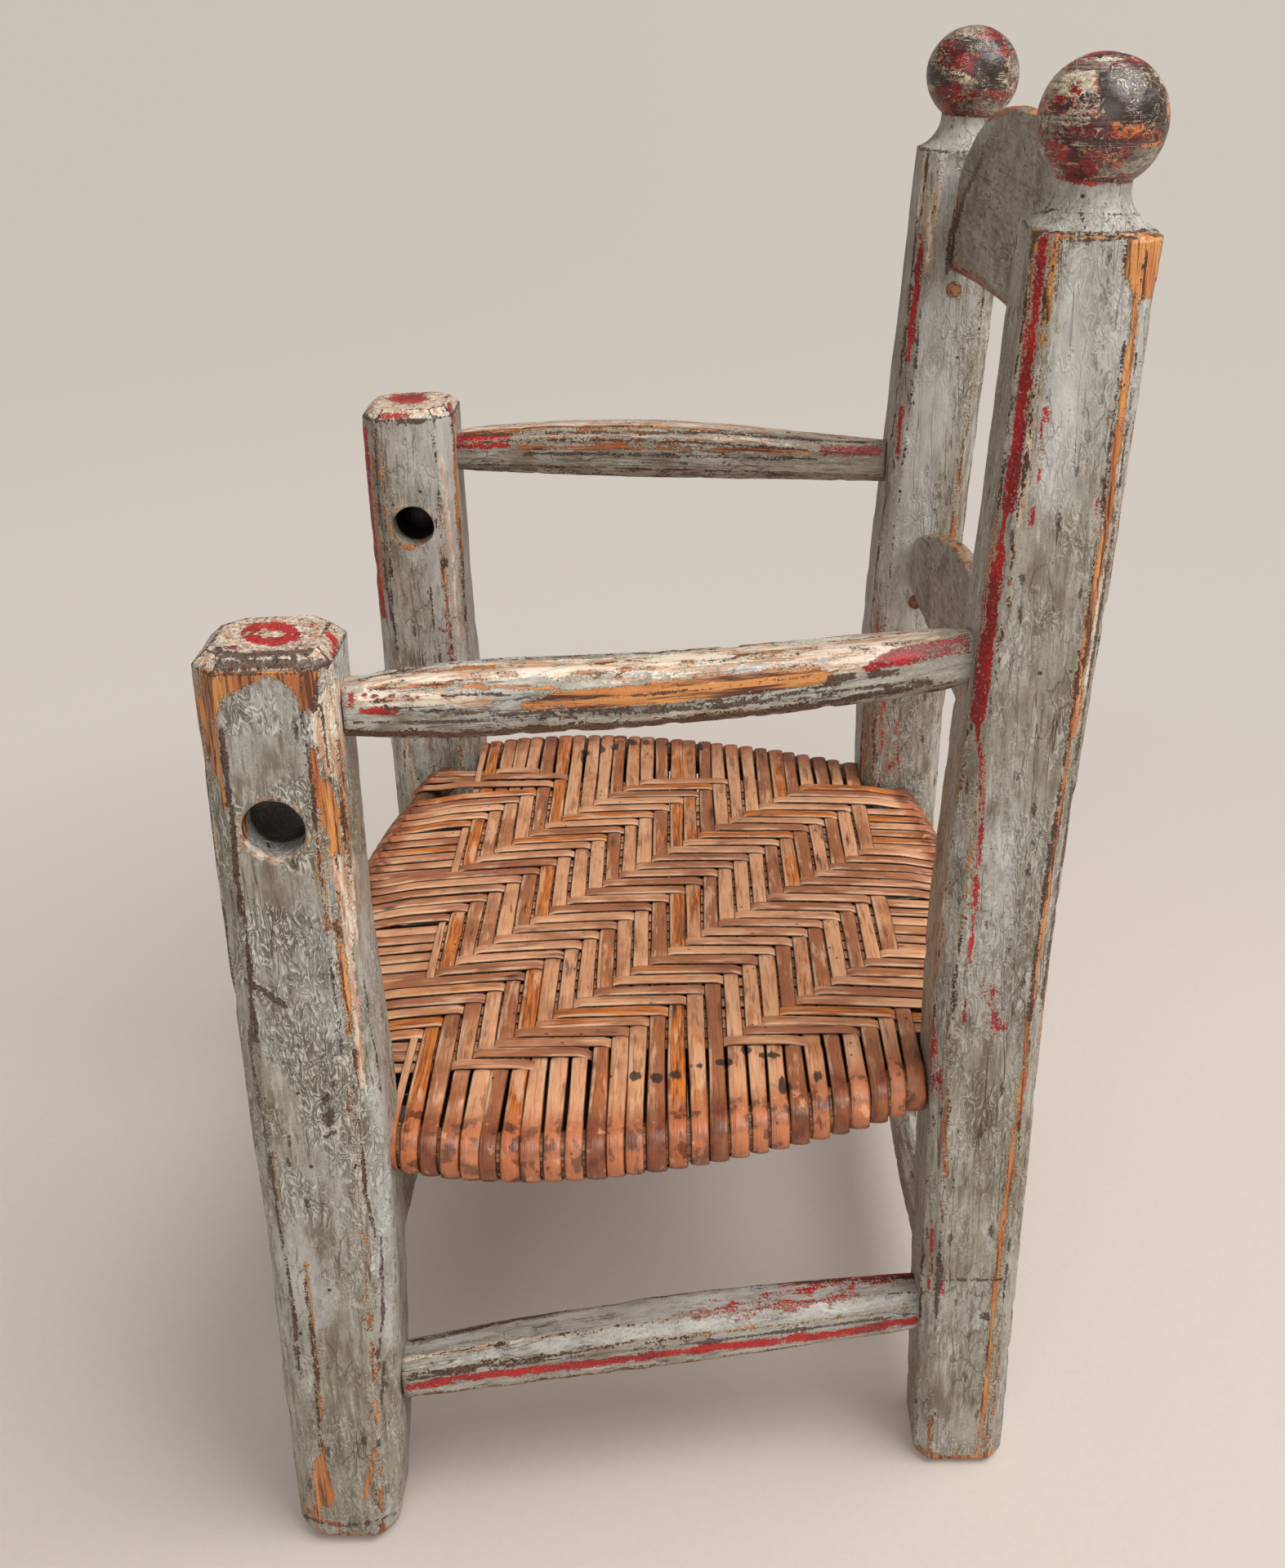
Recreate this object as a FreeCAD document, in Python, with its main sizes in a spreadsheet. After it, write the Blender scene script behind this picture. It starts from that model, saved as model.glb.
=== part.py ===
import FreeCAD, Part
import math
import os
import Sketcher
from FreeCAD import Placement, Rotation, Vector

# A child's ladder-back armchair with a woven splint seat. Millimetres.
# The origin is on the floor in the middle of the footprint. The front is -Y, up is +Z.
# The sitter's left is +X. The left pieces are built, and the right ones mirror them.

doc = FreeCAD.newDocument("chair")

SIZES = {
    # front posts
    "front_post_height": 423,
    "front_post_bevel": 4.8,
    "front_post_half": 25.3,
    "front_post_foot_half": 21.3,
    "front_post_swell_share": 0.5,
    "front_post_foot_out": 195,
    "front_post_top_out": 185,
    "front_post_foot_fore": 147.9,
    "front_post_top_fore": 144.4,
    "front_post_corner_share": 0.38,
    "foot_rounding": 6,
    "foot_rounding_share": 0.29,
    # back posts
    "back_post_foot_out": 154.7,
    "back_post_top_out": 139.1,
    "back_post_shoulder": 551.5,
    "back_post_back": 128.6,
    "back_bend_start": 200,
    "back_bend_end": 340,
    "back_lean": 0.0682,
    "back_post_foot_half": 20.4,
    "back_post_mid_half": 23,
    "back_post_mid_height": 261,
    "back_post_top_half": 21.5,
    "back_post_corner_share": 0.3,
    # turned finials
    "neck_radius": 13.1,
    "neck_rise": 13,
    "cove_top_radius": 28.5,
    "cove_radius": 16,
    "turning_cut_radius": 36,
    "ball_radius": 22.2,
    "ball_rise": 35,
    # restraint bar bores
    "bar_bore_radius": 11.5,
    "bar_bore_below_top": 65.4,
    "bar_socket_depth": 38,
    # joints
    "fit_gap": 0.15,
    "tenon_root": 3,
    "tenon_length": 20,
    "short_tenon_length": 14,
    # arms
    "arm_below_top": 28,
    "arm_end_half": 10.1,
    "arm_quarter_half": 12.9,
    "arm_middle_half": 14.2,
    "arm_tenon_radius": 8,
    "arm_corner_share": 0.45,
    "side_bar_lift_share": 0.8,
    # stretchers
    "side_stretcher_height": 79.5,
    "front_stretcher_height": 93,
    "back_stretcher_height": 64.5,
    "stretcher_end_half": 11,
    "stretcher_middle_half": 13.5,
    "stretcher_tenon_radius": 7,
    # seat rails
    "seat_height": 200,
    "side_rail_radius": 9.4,
    "side_rail_front_out": 188,
    "side_rail_bow": 23,
    "side_rail_peak_share": 0.4,
    "side_rail_tenon_radius": 5.5,
    "cross_rail_radius": 7.5,
    "cross_rail_tenon_radius": 4.5,
    "front_rail_end_fore": 136.4,
    "front_rail_bow": 27,
    "back_rail_bow": 11,
    # splints
    "splint_thickness": 1.5,
    "splint_lie_gap": 0.1,
    "cross_splint_pitch": 8.48,
    "cross_splint_width": 7.6,
    "first_cross_splint_fore": 110.4,
    "cross_splint_count": 26,
    "long_splint_pitch": 8.65,
    "long_splint_width": 8,
    "long_splint_count": 29,
    "corner_splint_count": 4,
    "corner_splint_back": 90.6,
    "corner_splint_step": 2,
    # slats
    "slat_thickness": 9,
    "slat_bow": 5,
    "slat_tenon_length": 12.5,
    "mortise_gap": 0.6,
    "upper_slat_half": 118.2,
    "upper_slat_low_end": 496,
    "upper_slat_high_end": 543,
    "upper_slat_low_middle": 501,
    "upper_slat_crest": 581,
    "upper_slat_crest_half": 50,
    "upper_slat_crest_drop": 2.5,
    "upper_slat_side_radius": 102.8,
    "lower_slat_half": 122.2,
    "lower_slat_low_end": 329.6,
    "lower_slat_high_end": 358.5,
    "lower_slat_low_middle": 321,
    "lower_slat_crest": 383,
    # slat pegs
    "peg_radius": 4,
    "peg_length": 10,
    "peg_proud": 1,
    "peg_below_slat": 8,
}

sheet = doc.addObject("Spreadsheet::Sheet", "Sizes")
for row, (alias, size) in enumerate(SIZES.items(), 1):
    sheet.set(f"A{row}", alias)
    sheet.set(f"B{row}", str(size))
    sheet.setAlias(f"B{row}", alias)
doc.recompute()


def of(alias):
    return "Sizes." + alias


def value(expression):
    return float(sheet.evalExpression(str(expression)))


# Places on the posts, as expressions in the height

def front_post_out(height):
    run = f"({of('front_post_foot_out')} - {of('front_post_top_out')})"
    return f"({of('front_post_foot_out')} - {run} * ({height}) / {of('front_post_height')})"


def front_post_fore(height):
    run = f"({of('front_post_foot_fore')} - {of('front_post_top_fore')})"
    return f"({of('front_post_foot_fore')} - {run} * ({height}) / {of('front_post_height')})"


def front_post_half(height):
    swell = f"({of('front_post_height')} * {of('front_post_swell_share')})"
    gain = f"({of('front_post_half')} - {of('front_post_foot_half')})"
    return f"({of('front_post_foot_half')} + {gain} * min(1; ({height}) / {swell}))"


def back_post_out(height):
    run = f"({of('back_post_foot_out')} - {of('back_post_top_out')})"
    return f"({of('back_post_foot_out')} - {run} * ({height}) / {of('back_post_shoulder')})"


def back_post_back(height):
    start, end = of("back_bend_start"), of("back_bend_end")
    bent = f"min(max(({height}) - {start}; 0); {end} - {start})"
    straight = f"max(({height}) - {end}; 0)"
    rise = f"({bent}) * ({bent}) / (2 * ({end} - {start})) + {straight}"
    return f"({of('back_post_back')} + {of('back_lean')} * ({rise}))"


def back_post_half(height):
    foot, middle, top = of("back_post_foot_half"), of("back_post_mid_half"), of("back_post_top_half")
    mid_height = of("back_post_mid_height")
    low = f"min(1; ({height}) / {mid_height})"
    high = f"max(0; (({height}) - {mid_height}) / ({of('back_post_shoulder')} - {mid_height}))"
    return f"({foot} + ({middle} - {foot}) * {low} - ({middle} - {top}) * {high})"


# Building blocks

def sketch_on(owner, role, label, offsets):
    sketch = owner.newObject("Sketcher::SketchObject", label)
    plane = [feature for feature in owner.Origin.OriginFeatures if feature.Role == role][0]
    sketch.AttachmentSupport = (plane, [""])
    sketch.MapMode = "FlatFace"
    for axis, offset in zip("xyz", offsets):
        sketch.setExpression(f"AttachmentOffset.Base.{axis}", offset)
    return sketch


def bind(sketch, kind, edge, vertex, expression):
    constraint = Sketcher.Constraint(kind, edge, vertex, value(expression))
    number = sketch.addConstraint(constraint)
    sketch.setExpression(f"Constraints[{number}]", expression)


def octagon(sketch, half, corner_share):
    flat = f"({half}) * (1 - {corner_share})"
    reach, side = value(half), value(flat)
    corners = [(reach, -side), (reach, side), (side, reach), (-side, reach),
               (-reach, side), (-reach, -side), (-side, -reach), (side, -reach)]
    for index, corner in enumerate(corners):
        following = corners[(index + 1) % len(corners)]
        sketch.addGeometry(Part.LineSegment(Vector(*corner, 0), Vector(*following, 0)), False)
    for index in range(len(corners)):
        following = (index + 1) % len(corners)
        sketch.addConstraint(Sketcher.Constraint("Coincident", index, 2, following, 1))
    for edge, axis in ((0, -1), (2, -2), (4, -1), (6, -2)):
        sketch.addConstraint(Sketcher.Constraint("Symmetric", edge, 1, edge, 2, axis))
    sketch.addConstraint(Sketcher.Constraint("Symmetric", 0, 2, 4, 1, -2))
    sketch.addConstraint(Sketcher.Constraint("Symmetric", 2, 1, 6, 2, -1))
    bind(sketch, "DistanceX", 1, 1, half)
    bind(sketch, "DistanceY", 1, 1, flat)
    bind(sketch, "DistanceX", 2, 1, flat)
    bind(sketch, "DistanceY", 2, 1, half)


def octagonal_bar(label, role, stations, corner_share):
    # Each station is an octagon's half width and its sketch's offset from the plane.
    body = doc.addObject("PartDesign::Body", label)
    sections = []
    for half, offsets in stations:
        sketch = sketch_on(body, role, f"{label} section", offsets)
        octagon(sketch, half, corner_share)
        sections.append(sketch)
    loft = body.newObject("PartDesign::AdditiveLoft", f"{label} loft")
    loft.Profile = sections[0]
    loft.Sections = sections[1:]
    loft.Ruled = True
    body.Tip = loft
    return body


def outline(label, placement, corners, arcs):
    # The corners are joined in turn. An arc's radius is negative where it turns clockwise.
    sketch = doc.addObject("Sketcher::SketchObject", label)
    sketch.Placement = placement
    points = [Vector(value(x), value(y), 0) for x, y in corners]
    ends = []
    for index, start in enumerate(points):
        end = points[(index + 1) % len(points)]
        if index not in arcs:
            sketch.addGeometry(Part.LineSegment(start, end), False)
            ends.append((1, 2))
            continue
        turn = value(arcs[index])
        chord = end - start
        aside = Vector(-chord.y, chord.x, 0).normalize() * math.copysign(1, turn)
        height = math.sqrt(max(0, turn * turn - chord.Length ** 2 / 4))
        centre = (start + end) * 0.5 + aside * height
        first, last = (start, end) if turn > 0 else (end, start)
        begin = math.atan2(first.y - centre.y, first.x - centre.x)
        finish = math.atan2(last.y - centre.y, last.x - centre.x)
        circle = Part.Circle(centre, Vector(0, 0, 1), abs(turn))
        sketch.addGeometry(Part.ArcOfCircle(circle, begin, finish), False)
        ends.append((1, 2) if turn > 0 else (2, 1))
    for index, (x, y) in enumerate(corners):
        following = (index + 1) % len(corners)
        joint = ("Coincident", index, ends[index][1], following, ends[following][0])
        sketch.addConstraint(Sketcher.Constraint(*joint))
        for kind, place, axis in (("DistanceX", x, -2), ("DistanceY", y, -1)):
            if place == "0":
                on_axis = ("PointOnObject", index, ends[index][0], axis)
                sketch.addConstraint(Sketcher.Constraint(*on_axis))
            else:
                bind(sketch, kind, index, ends[index][0], place)
    for index, radius in arcs.items():
        size = sketch.addConstraint(Sketcher.Constraint("Radius", index, abs(value(radius))))
        sketch.setExpression(f"Constraints[{size}]", f"abs({radius})")
    return sketch


def place(feature, x, y, z, axis=None, angle=None):
    if axis is not None:
        feature.Placement = Placement(Vector(0, 0, 0), Rotation(axis, 1))
        feature.setExpression("Placement.Rotation.Angle", angle)
    for name, expression in zip("xyz", (x, y, z)):
        feature.setExpression(f"Placement.Base.{name}", expression)
    return feature


def rod(label, radius, length, x, y, z, turn_axis, turn):
    cylinder = doc.addObject("Part::Cylinder", label)
    cylinder.Label = label
    cylinder.setExpression("Radius", radius)
    cylinder.setExpression("Height", length)
    return place(cylinder, x, y, z, turn_axis, turn)


ACROSS_X, ACROSS_Y = Vector(1, 0, 0), Vector(0, 1, 0)
TO_BACK, TO_FRONT, TO_LEFT = (ACROSS_X, "-90"), (ACROSS_X, "90"), (ACROSS_Y, "90")
TO_RIGHT = (ACROSS_Y, "-90")


def joint_rod(label, end, gap):
    # A tenon starts a little inside its bar, and its socket as far outside the post.
    x, y, z, direction, radius, length = end
    root = of("tenon_root")
    if direction in (TO_BACK, TO_FRONT):
        y = f"{y} {'-' if direction == TO_BACK else '+'} {root}"
    else:
        x = f"{x} {'-' if direction == TO_LEFT else '+'} {root}"
    return rod(label, f"{radius} + {gap}", f"{length} + {root} + {gap}", x, y, z, *direction)


def block(label, sizes, x, y, z):
    box = doc.addObject("Part::Box", label)
    for name, size in zip(("Length", "Width", "Height"), sizes):
        box.setExpression(name, size)
    return place(box, x, y, z)


def joined(label, pieces):
    fuse = doc.addObject("Part::MultiFuse", label)
    fuse.Label = label
    fuse.Shapes = pieces
    return fuse


def cut(label, base, tool):
    feature = doc.addObject("Part::Cut", label)
    feature.Label = label
    feature.Base = base
    feature.Tool = tool
    return feature


def common(label, pieces):
    feature = doc.addObject("Part::MultiCommon", label)
    feature.Label = label
    feature.Shapes = pieces
    return feature


nodes = []


def keep(piece, label):
    piece.Label = label
    nodes.append(piece)
    return piece


def mirrored(piece, label):
    feature = doc.addObject("Part::Mirroring", label)
    feature.Source = piece
    feature.Normal = ACROSS_X
    return keep(feature, label)


def with_round_ends(label, bar, ends):
    # Each end is the place of a tenon's shoulder, its direction, radius and length.
    # The same list gives the socket in the post, one fit gap larger.
    tenons = [joint_rod(f"{label} tenon", end, "0") for end in ends]
    return keep(joined(label, [bar] + tenons), label)


def sockets(label, ends):
    return [joint_rod(f"{label} socket", end, of("fit_gap")) for end in ends]


# Where each joint enters its post, on the left side of the chair

def front_post_rear_face(height):
    return f"({front_post_half(height)} - {front_post_fore(height)})"


def front_post_inner_face(height):
    return f"({front_post_out(height)} - {front_post_half(height)})"


def back_post_front_face(height):
    return f"({back_post_back(height)} - {back_post_half(height)})"


def back_post_inner_face(height):
    return f"({back_post_out(height)} - {back_post_half(height)})"


def front_joint(out, height, radius):
    return (out, front_post_rear_face(height), height, TO_FRONT, radius, of("tenon_length"))


def back_joint(out, height, radius):
    return (out, back_post_front_face(height), height, TO_BACK, radius, of("tenon_length"))


def side_joint(face, fore, height, radius):
    return (face, fore, height, TO_LEFT, radius, of("short_tenon_length"))


SEAT = of("seat_height")
ARM = f"({of('front_post_height')} - {of('arm_below_top')})"
SIDE_LOW, FRONT_LOW = of("side_stretcher_height"), of("front_stretcher_height")
BACK_LOW = of("back_stretcher_height")

arm_front = front_joint(front_post_out(ARM), ARM, of("arm_tenon_radius"))
arm_back = back_joint(back_post_out(ARM), ARM, of("arm_tenon_radius"))
low_front = front_joint(front_post_out(SIDE_LOW), SIDE_LOW, of("stretcher_tenon_radius"))
low_back = back_joint(back_post_out(SIDE_LOW), SIDE_LOW, of("stretcher_tenon_radius"))
rail_front = front_joint(of("side_rail_front_out"), SEAT, of("side_rail_tenon_radius"))
rail_back = back_joint(back_post_out(SEAT), SEAT, of("side_rail_tenon_radius"))
front_low = side_joint(front_post_inner_face(FRONT_LOW), f"-{front_post_fore(FRONT_LOW)}",
                       FRONT_LOW, of("stretcher_tenon_radius"))
back_low = side_joint(back_post_inner_face(BACK_LOW), back_post_back(BACK_LOW),
                      BACK_LOW, of("stretcher_tenon_radius"))
front_rail_end = side_joint(front_post_inner_face(SEAT), f"-{of('front_rail_end_fore')}",
                            SEAT, of("cross_rail_tenon_radius"))
back_rail_end = side_joint(back_post_inner_face(SEAT), back_post_back(SEAT),
                           SEAT, of("cross_rail_tenon_radius"))

# Front posts

ROUND, ROUND_SHARE = of("foot_rounding"), of("foot_rounding_share")


def foot_stations(half, station):
    # A rounded foot: three small steps stand for the quarter round.
    near = f"{ROUND} * {ROUND_SHARE}"
    return [station("0", f"({half('0')} - {ROUND})"),
            station(near, f"({half(near)} - {near})"),
            station(ROUND, half(ROUND))]


def front_station(height, half):
    return (half, (front_post_out(height), f"-{front_post_fore(height)}", height))


def front_post():
    top, bevel = of("front_post_height"), of("front_post_bevel")
    swell = f"{top} * {of('front_post_swell_share')}"
    stations = foot_stations(front_post_half, front_station)
    stations.append(front_station(swell, front_post_half(swell)))
    stations.append(front_station(f"({top} - {bevel})", front_post_half(top)))
    stations.append(front_station(top, f"({front_post_half(top)} - {bevel})"))
    blank = octagonal_bar("front post blank", "XY_Plane", stations, of("front_post_corner_share"))
    height = f"({top} - {of('bar_bore_below_top')})"
    start = f"{front_post_inner_face(height)} - {bevel}"
    ends = [arm_front, low_front, rail_front, front_low, front_rail_end]
    # The left post is bored right through, and in the right one the bore ends inside.
    posts = []
    for label, reach in (("front post through", f"2 * {front_post_half(height)} + {bevel}"),
                         ("front post blind", of("bar_socket_depth"))):
        bore = rod(f"{label} bore", of("bar_bore_radius"), f"{reach} + {bevel}", start,
                   f"-{front_post_fore(height)}", height, *TO_LEFT)
        tool = joined(f"{label} holes", [bore] + sockets(label, ends))
        posts.append(cut(label, blank, tool))
    through, blind = posts
    return keep(through, "front_post_left"), blind


# Back posts with their turned finials

def back_station(height, half):
    return (half, (back_post_out(height), back_post_back(height), height))


UPRIGHT = Placement(Vector(0, 0, 0), Rotation(ACROSS_X, 90))
LEAN = (ACROSS_X, f"-atan({of('back_lean')})")


def turned(label, corners, arcs):
    profile = outline(f"{label} profile", UPRIGHT, corners, arcs)
    feature = doc.addObject("Part::Revolution", label)
    feature.Source = profile
    feature.Axis = Vector(0, 0, 1)
    feature.Angle = 360
    feature.Solid = True
    shoulder = of("back_post_shoulder")
    middle = f"({shoulder} + {of('neck_rise')})"
    return place(feature, back_post_out(middle), back_post_back(shoulder), shoulder, *LEAN)


def finial_cove():
    # The ring of wood that is turned away above the shoulder.
    neck, wide, top = of("neck_radius"), of("turning_cut_radius"), of("ball_rise")
    corners = [(of("cove_top_radius"), "0"), (neck, of("neck_rise")), (neck, top),
               (wide, top), (wide, "0")]
    return turned("finial cove", corners, {0: f"-{of('cove_radius')}"})


def finial_ball():
    neck, radius, rise = of("neck_radius"), of("ball_radius"), of("ball_rise")
    under = f"({rise} - sqrt({radius} * {radius} - {neck} * {neck}))"
    low = f"({of('neck_rise')} / 2)"
    corners = [("0", low), (neck, low), (neck, under), (radius, rise), ("0", f"({rise} + {radius})")]
    return turned("finial ball", corners, {2: radius, 3: radius})


def mortises(label, low, high, half):
    # A slot through the inner face for the slat's flat tenon.
    gap, thickness = of("mortise_gap"), of("slat_thickness")
    box = block(label, (f"2 * {of('slat_tenon_length')}", f"{thickness} + 2 * {gap}",
                        f"{high} - {low} + 2 * {gap}"), "0", "0", "0")
    middle = f"(({low} + {high}) / 2)"
    depth = f"{half} - {of('slat_tenon_length')} + {gap}"
    back = f"{back_post_back(middle)} - {thickness} / 2 - {gap}"
    down = f"({high} - {low}) / 2"
    place(box, depth, f"{back} - {of('back_lean')} * {down}", f"{low} - {gap}", *LEAN)
    return box


def peg_place(low):
    height = f"({low} - {of('peg_below_slat')})"
    start = f"{back_post_inner_face(height)} - {of('peg_proud')}"
    return start, back_post_back(height), height


def back_post():
    levels = [of("back_bend_start"), of("back_post_mid_height")]
    bend = f"({of('back_bend_end')} - {of('back_bend_start')})"
    levels.insert(1, f"({of('back_bend_start')} + {bend} / 4)")
    levels.append(f"({of('back_bend_start')} + {bend} * 3 / 4)")
    levels.append(f"{of('back_bend_end')}")
    top = f"({of('back_post_shoulder')} + {of('neck_rise')})"
    stations = foot_stations(back_post_half, back_station)
    for level in levels + [top]:
        stations.append(back_station(level, back_post_half(level)))
    blank = octagonal_bar("back post blank", "XY_Plane", stations, of("back_post_corner_share"))
    shaped = cut("back post shoulder", blank, finial_cove())
    whole = joined("back post with finial", [shaped, finial_ball()])
    ends = [arm_back, low_back, rail_back, back_low, back_rail_end]
    tools = sockets("back post", ends)
    for name in ("upper_slat", "lower_slat"):
        low, high, half = (of(f"{name}_{end}") for end in ("low_end", "high_end", "half"))
        tools.append(mortises(f"{name} mortise", low, high, half))
        radius = f"{of('peg_radius')} + {of('fit_gap')}"
        length = f"{of('peg_length')} + {of('peg_proud')} + {of('fit_gap')}"
        tools.append(rod(f"{name} peg hole", radius, length, *peg_place(low), *TO_LEFT))
    return keep(cut("back_post_left", whole, joined("back post holes", tools)), "back_post_left")


# Arms and stretchers: swollen octagonal bars with round tenons

def run_between(first, last, share):
    return f"(({first}) + (({last}) - ({first})) * {share})"


def side_bar(label, front, back, height, halves):
    stations = []
    start, end = f"({front[1]} + {of('fit_gap')})", f"({back[1]} - 4 * {of('fit_gap')})"
    for share, half in halves:
        along = run_between(start, end, share)
        out = run_between(front[0], back[0], share)
        # The bar swells upwards and keeps its underside nearly straight.
        lift = f"({half} - {halves[0][1]}) * {of('side_bar_lift_share')}"
        # A sketch on the XZ plane looks along -Y, so its offset is the distance forward.
        stations.append((half, (out, f"({height} + {lift})", f"-{along}")))
    bar = octagonal_bar(f"{label} bar", "XZ_Plane", stations, of("arm_corner_share"))
    return with_round_ends(label, bar, [front, back])


def cross_bar(label, end, halves):
    x, y, z, direction, radius, length = end
    stations = []
    reach = f"({x} - 2 * {of('fit_gap')})"
    for share, half in halves:
        stations.append((half, (y, z, run_between(f"-{reach}", reach, share))))
    bar = octagonal_bar(f"{label} bar", "YZ_Plane", stations, of("arm_corner_share"))
    other = (f"-{x}", y, z, TO_RIGHT, radius, length)
    return with_round_ends(label, bar, [end, other])


ARM_HALVES = [("0", of("arm_end_half")), ("0.2", of("arm_quarter_half")),
              ("0.42", of("arm_middle_half")), ("0.7", of("arm_quarter_half")),
              ("1", of("arm_end_half"))]
BAR_HALVES = [("0", of("stretcher_end_half")), ("0.5", of("stretcher_middle_half")),
              ("1", of("stretcher_end_half"))]

# Seat rails: bent round rods with round tenons


def bend(label, radius, sweep, rod_radius, x, y, turn):
    ring = doc.addObject("Part::Torus", label)
    ring.setExpression("Radius1", radius)
    ring.setExpression("Radius2", rod_radius)
    ring.setExpression("Angle3", sweep)
    return place(ring, x, y, SEAT, Vector(0, 0, 1), turn)


RAIL_OUT, RAIL_FORE, RAIL_BACK = rail_front[0], rail_front[1], rail_back[1]
RAIL_BOW, PEAK_SHARE = of("side_rail_bow"), of("side_rail_peak_share")
RAIL_ACROSS, RAIL_ALONG = f"({RAIL_OUT} - {rail_back[0]})", f"({RAIL_BACK} - {RAIL_FORE})"
RAIL_CHORD = f"sqrt({RAIL_ACROSS} * {RAIL_ACROSS} + {RAIL_ALONG} * {RAIL_ALONG})"
RAIL_SPLAY = f"atan({RAIL_ACROSS} / {RAIL_ALONG})"
PEAK_OUT = f"({RAIL_OUT} - {RAIL_ACROSS} * {PEAK_SHARE} + {RAIL_BOW} * cos({RAIL_SPLAY}))"
PEAK_BACK = f"({RAIL_FORE} + {RAIL_ALONG} * {PEAK_SHARE} + {RAIL_BOW} * sin({RAIL_SPLAY}))"


def side_rail_arc(share):
    # The radius of one of the rail's two bends, the place of its centre and its chord.
    length = f"({RAIL_CHORD} * {share})"
    radius = f"(({length} * {length} + {RAIL_BOW} * {RAIL_BOW}) / (2 * {RAIL_BOW}))"
    out = f"({PEAK_OUT} - {radius} * cos({RAIL_SPLAY}))"
    back = f"({PEAK_BACK} - {radius} * sin({RAIL_SPLAY}))"
    return radius, out, back, length


FRONT_BEND, BACK_BEND = side_rail_arc(PEAK_SHARE), side_rail_arc(f"(1 - {PEAK_SHARE})")


def side_rail():
    pieces = []
    for name, (radius, out, back, length) in (("front", FRONT_BEND), ("back", BACK_BEND)):
        spare = f"atan({of('side_rail_radius')} / {radius})"
        sweep = f"(atan({length} / ({radius} - {RAIL_BOW})) + {spare})"
        turn = f"{RAIL_SPLAY} - {sweep}" if name == "front" else RAIL_SPLAY
        thickness = of("side_rail_radius")
        pieces.append(bend(f"side rail {name} bend", radius, sweep, thickness, out, back, turn))
    gap = of("fit_gap")
    window = block("side rail length", (RAIL_OUT, f"{RAIL_ALONG} - 3 * {gap}", f"2 * {SEAT}"),
                   f"{RAIL_OUT} / 2", f"{RAIL_FORE} + 2 * {gap}", "0")
    bar = common("side rail bar", [joined("side rail bends", pieces), window])
    return with_round_ends("seat_rail_left", bar, [rail_front, rail_back])


def cross_rail_ring(end, bow):
    return f"(({end[0]} * {end[0]} + {bow} * {bow}) / (2 * {bow}))"


def cross_rail(label, end, bow, forward):
    x, y, z, direction, radius, length = end
    ring = cross_rail_ring(end, bow)
    sweep = f"(2 * asin({x} / {ring}) + 2 * atan({of('cross_rail_radius')} / {ring}))"
    middle = f"{y} {'+' if forward else '-'} ({ring} - {bow})"
    turn = f"{'270' if forward else '90'} deg - {sweep} / 2"
    bent = bend(f"{label} bend", ring, sweep, of("cross_rail_radius"), "0", middle, turn)
    reach = f"({x} - {of('fit_gap')})"
    window = block(f"{label} length", (f"2 * {reach}", f"2 * {SEAT}", f"2 * {SEAT}"),
                   f"-{reach}", f"{y} - {SEAT}", "0")
    other = (f"-{x}", y, z, TO_RIGHT, radius, length)
    return with_round_ends(label, common(f"{label} bar", [bent, window]), [end, other])


# Slats: bowed boards with an arched outline, tenoned into the back posts

FLAT = Placement()


def slat(label, top_corners, top_arcs):
    low, high, half = (of(f"{label}_{end}") for end in ("low_end", "high_end", "half"))
    middle = f"(({low} + {high}) / 2)"
    tenon = f"({half} + {of('slat_tenon_length')})"
    bow, thickness = of("slat_bow"), of("slat_thickness")
    ring = f"(({half} * {half} + {bow} * {bow}) / (2 * {bow}))"
    drop = f"({ring} - sqrt({ring} * {ring} - {tenon} * {tenon}))"
    front = f"({bow} - {drop} - {thickness} / 2)"
    plan = outline(f"{label} plan", FLAT,
                   [(f"-{tenon}", front), (tenon, front),
                    (tenon, f"{front} + {thickness}"), (f"-{tenon}", f"{front} + {thickness}")],
                   {0: f"-{ring}", 2: f"({ring} + {thickness})"})
    band = doc.addObject("Part::Extrusion", f"{label} band")
    band.Base = plan
    band.Dir = Vector(0, 0, 1)
    band.DirMode = "Custom"
    band.setExpression("LengthFwd", f"2 * {of('upper_slat_crest')}")
    band.Symmetric = True
    band.Solid = True
    lift = f"({of(f'{label}_low_middle')} - {low})"
    arch = f"(({half} * {half} + {lift} * {lift}) / (2 * {lift}))"
    foot, head = f"({low} - {middle})", f"({high} - {middle})"
    corners = [(half, foot), (tenon, foot), (tenon, head), (half, head)]
    corners += [(x, f"({z} - {middle})") for x, z in top_corners]
    corners += [(f"-{half}", head), (f"-{tenon}", head), (f"-{tenon}", foot), (f"-{half}", foot)]
    arcs = {3 + index: radius for index, radius in enumerate(top_arcs)}
    arcs[len(corners) - 1] = f"-{arch}"
    face = outline(f"{label} face", UPRIGHT, corners, arcs)
    board = doc.addObject("Part::Extrusion", f"{label} board")
    board.Base = face
    board.Dir = Vector(0, 1, 0)
    board.DirMode = "Custom"
    board.setExpression("LengthFwd", f"2 * {of('upper_slat_half')}")
    board.Symmetric = True
    board.Solid = True
    piece = place(common(label, [band, board]), "0", back_post_back(middle), middle, *LEAN)
    return keep(piece, label)


def upper_slat():
    crest_half, drop = of("upper_slat_crest_half"), of("upper_slat_crest_drop")
    shoulder = f"({of('upper_slat_crest')} - {drop})"
    crest = f"(({crest_half} * {crest_half} + {drop} * {drop}) / (2 * {drop}))"
    side = of("upper_slat_side_radius")
    return slat("upper_slat", [(crest_half, shoulder), (f"-{crest_half}", shoulder)],
                [side, crest, side])


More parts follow.
